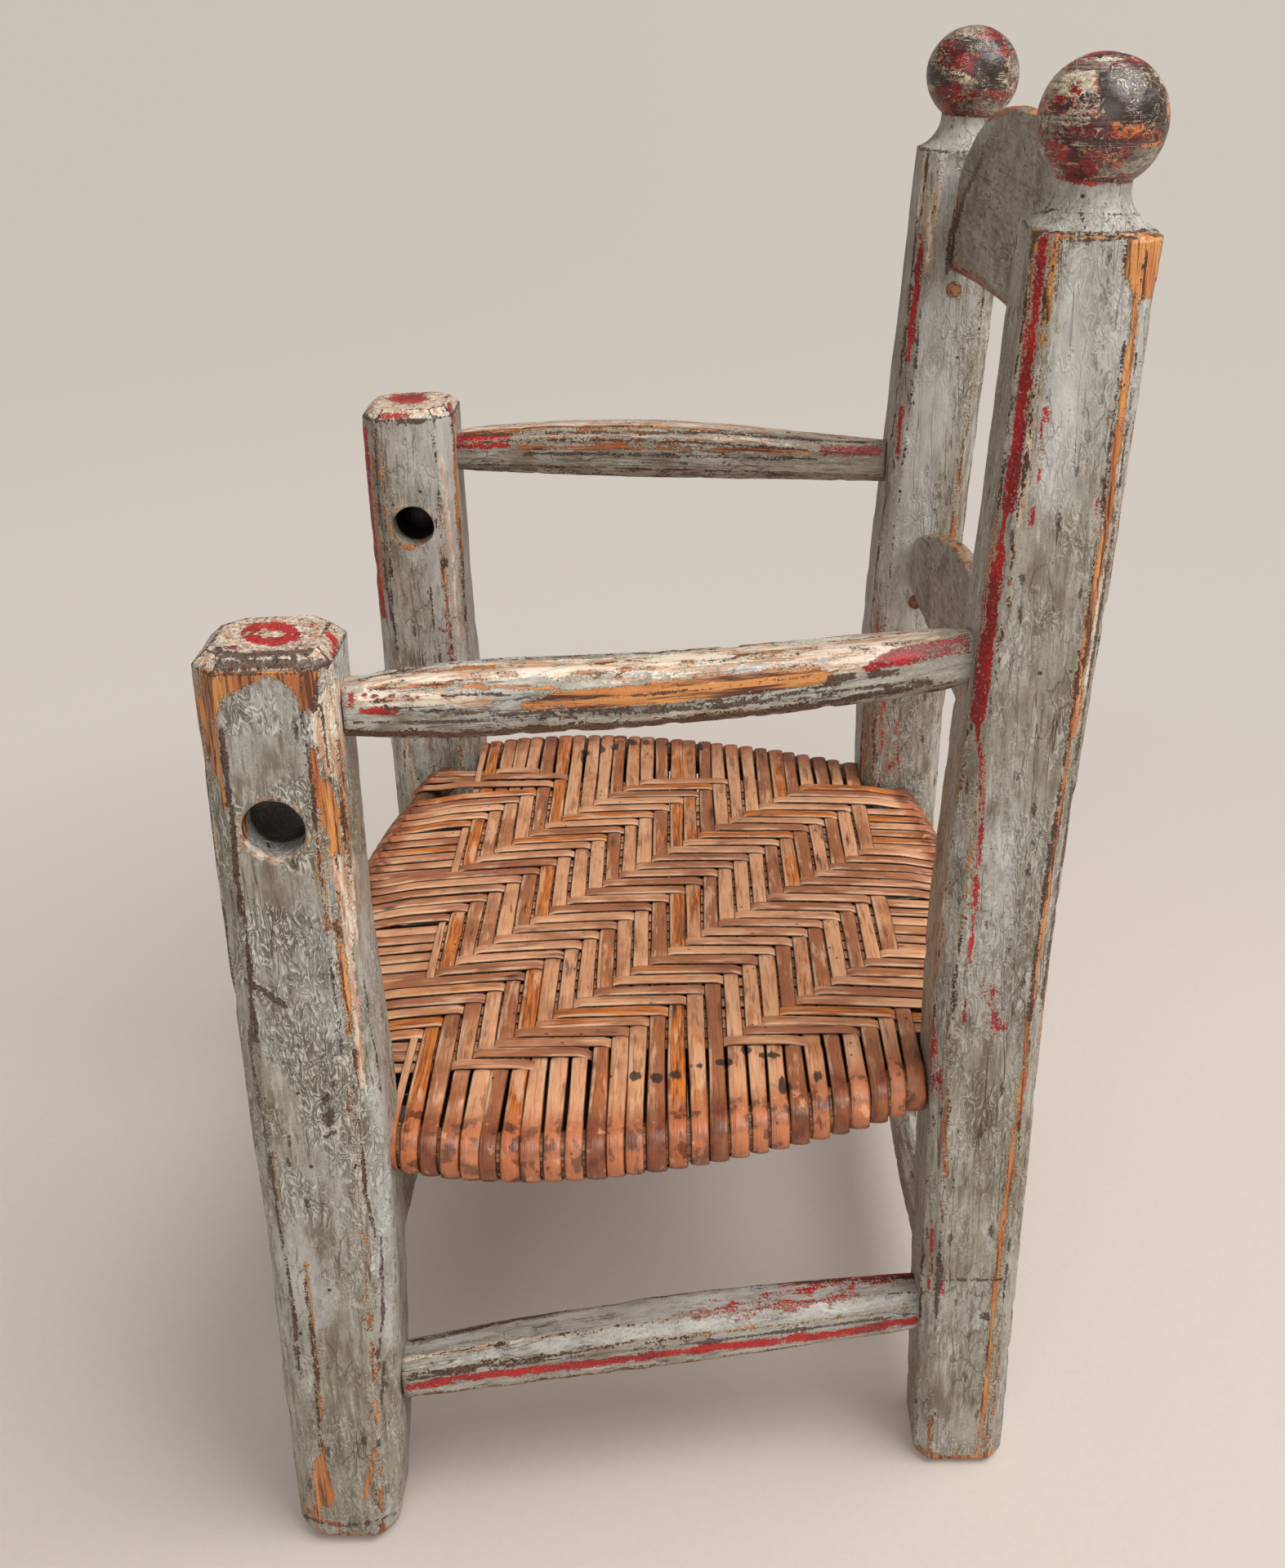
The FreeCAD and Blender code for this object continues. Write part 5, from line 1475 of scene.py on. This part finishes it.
def corner_splints():
    # Short strips that come round the front rail and end under the cross strips
    strands = Strands()
    for k, x, y_end in SHORT_STRIPS:
        front_rail = front_rail_at(x)
        front = front_rail[0]
        steps = steps_between(front, y_end, TOP_STEP)
        crossings = [(front, True)]
        crossings += [(cross_y(i), not cross_is_over(i, k)) for i in range(-1, CROSS_COUNT)
                      if cross_y(i) < y_end + 4]
        height = weave_height(crossings, steps)
        height += rise(-steps, -front - 26, -front - 4) * (LONG_ROUND - height)
        height -= 1.2 * rise(steps, y_end - 10, y_end)
        path = Path(lambda along, z: (x, along, z), True)
        path.run(steps[::-1], height[::-1], 1)
        path.wrap(front_rail, LONG_ROUND, -1, HALF_ROUND)
        path.run(steps[::2], height[::2], -1)
        strands.add(path, False, path.bends, chance.uniform(0, 1), chance.uniform(0, 0.5), 1.0)
    strands.sweep("corner_splints", CORNER_WIDTH)


# Floor, backdrop and light, in metres

def make_stage():
    around, flat = 96, 2.2
    rings = [(0.02, 0), (0.5, 0), (1.2, 0), (flat, 0)]
    rings += [(flat + flat * math.sin(turn), flat - flat * math.cos(turn))
              for turn in np.linspace(0.1, 1.5, 14)]
    rings += [(4.6, 4.5), (4.6, 6)]
    points = [(radius * math.cos(turn), radius * math.sin(turn), height) for radius, height in rings
              for turn in full_turn(around)]
    faces = band_faces(len(rings), around) + [tuple(range(around))[::-1]]
    floor = new_mesh("floor", np.array(points) / MM, [], faces)
    floor.data.shade_smooth()
    f = Finish("studio paper")
    place = f.out("ShaderNodeTexCoord", "Object")
    grainy = f.noise(place, 260, 3.0)
    f.tint = f.mix(grainy.rise(0.4, 0.7) * 0.12, (201, 192, 184), (182, 169, 157))
    floor.data.materials.append(f.done(0.9, grainy, 0.0002, 0.3))

    # Away from the chair the camera sees the paper glow at a set tone, painted a little darker further off
    # and lighter towards the key light's side
    apart = add_node(f.tree, "ShaderNodeSeparateXYZ", {0: place}).outputs
    level_place = f.out("ShaderNodeCombineXYZ", 0, {0: apart[0], 1: apart[1]})
    far = f.out("ShaderNodeVectorMath", "Value", {0: level_place}, operation="LENGTH")
    tone = f.mix(far.rise(0.5, 3.2), (212, 202, 193), (202, 193, 183))
    tone = f.mix(Amount(f, apart[1]).rise(-1.2, 1.2, 0.0, 0.5), tone, (212, 203, 193))
    paper_glow = f.out("ShaderNodeEmission", 0, {"Color": tone, "Strength": 1.0})
    # Beside the chair a share of 0.14 of the glow is mixed in too: painted light that lightens the chair's
    # cast shadow
    share = far.rise(0.42, 0.95, 0.14) * f.out("ShaderNodeLightPath", "Is Camera Ray")
    both = f.out("ShaderNodeMixShader", 0, {0: share, 1: f.shader.outputs[0], 2: paper_glow})
    feed(f.tree, f.ending.inputs["Surface"], both)


def area_light(name, place, aim, size, power, tint):
    lamp = bpy.data.lights.new(name, "AREA")
    lamp.shape, lamp.size, lamp.size_y = "RECTANGLE", size, size
    lamp.energy, lamp.color = power, tint
    light = new_object(name, lamp)
    light.location = place
    light.rotation_euler = (Vector(aim) - Vector(place)).to_track_quat("-Z", "Y").to_euler()


def make_light():
    area_light("key light", (0.6, 1.25, 2.4), (0, 0, 0.25), 2.0, 81, (1, 0.985, 0.965))
    area_light("fill light", (2.2, -0.2, 1.3), (0, 0, 0.3), 1.6, 15, (1, 0.985, 0.97))
    world = bpy.data.worlds.new("studio")
    bpy.context.scene.world = world
    world.use_nodes = True
    world.node_tree.nodes["Background"].inputs["Color"].default_value = (1, 0.985, 0.965, 1)
    world.node_tree.nodes["Background"].inputs["Strength"].default_value = 0.5


# Making the chair

make_camera()
make_stage()
make_light()

front_post(1, "front_post_left", 1.5, (20, 8), 3)
front_post(-1, "front_post_right", 2.0, (16, 7), 5)
back_post(1, "back_post_left", 1.6, (18, 7), 7)
back_post(-1, "back_post_right", 2.0, (16, 6), 9)
arm(1, "arm_left", 11)
arm(-1, "arm_right", 13)
stretcher("stretcher_left", between_posts(1, SIDE_STRETCHER_HEIGHT), 15, 0.8)
stretcher("stretcher_right", between_posts(-1, SIDE_STRETCHER_HEIGHT), 17, 0.8)
cross_stretcher("stretcher_front", FRONT_STRETCHER_HEIGHT, front_post_out, front_post_y,
                front_post_half, 19)
cross_stretcher("stretcher_back", BACK_STRETCHER_HEIGHT, back_post_out, back_post_y,
                back_post_half, 21)
slat("upper_slat", UPPER_SLAT_HALF, UPPER_SLAT_ENDS, UPPER_SLAT_LOW, upper_top, 23)
slat("lower_slat", LOWER_SLAT_HALF, LOWER_SLAT_ENDS, LOWER_SLAT_LOW, lower_top, 25)
for ends, name in ((UPPER_SLAT_ENDS, "upper_slat_peg"), (LOWER_SLAT_ENDS, "lower_slat_peg")):
    slat_peg(1, name + "_left", ends[0], 27)
    slat_peg(-1, name + "_right", ends[0], 29)

side_line = [(side_rail_at(y)[0], y, SEAT) for y in np.linspace(-123, 107, 60)]
rail("seat_rail_left", side_line, SIDE_RAIL_RADIUS, 31)
rail("seat_rail_right", [(-x, y, z) for x, y, z in side_line], SIDE_RAIL_RADIUS, 33)
rail("seat_rail_front", [(x, front_rail_at(x)[0], SEAT) for x in np.linspace(-167, 167, 84)],
     CROSS_RAIL_RADIUS, 35)
rail("seat_rail_back", [(x, back_rail_at(x)[0], SEAT) for x in np.linspace(-126, 126, 64)],
     CROSS_RAIL_RADIUS, 37)
cross_splints()
long_splints()
corner_splints()

bpy.context.scene.view_settings.view_transform = "Standard"
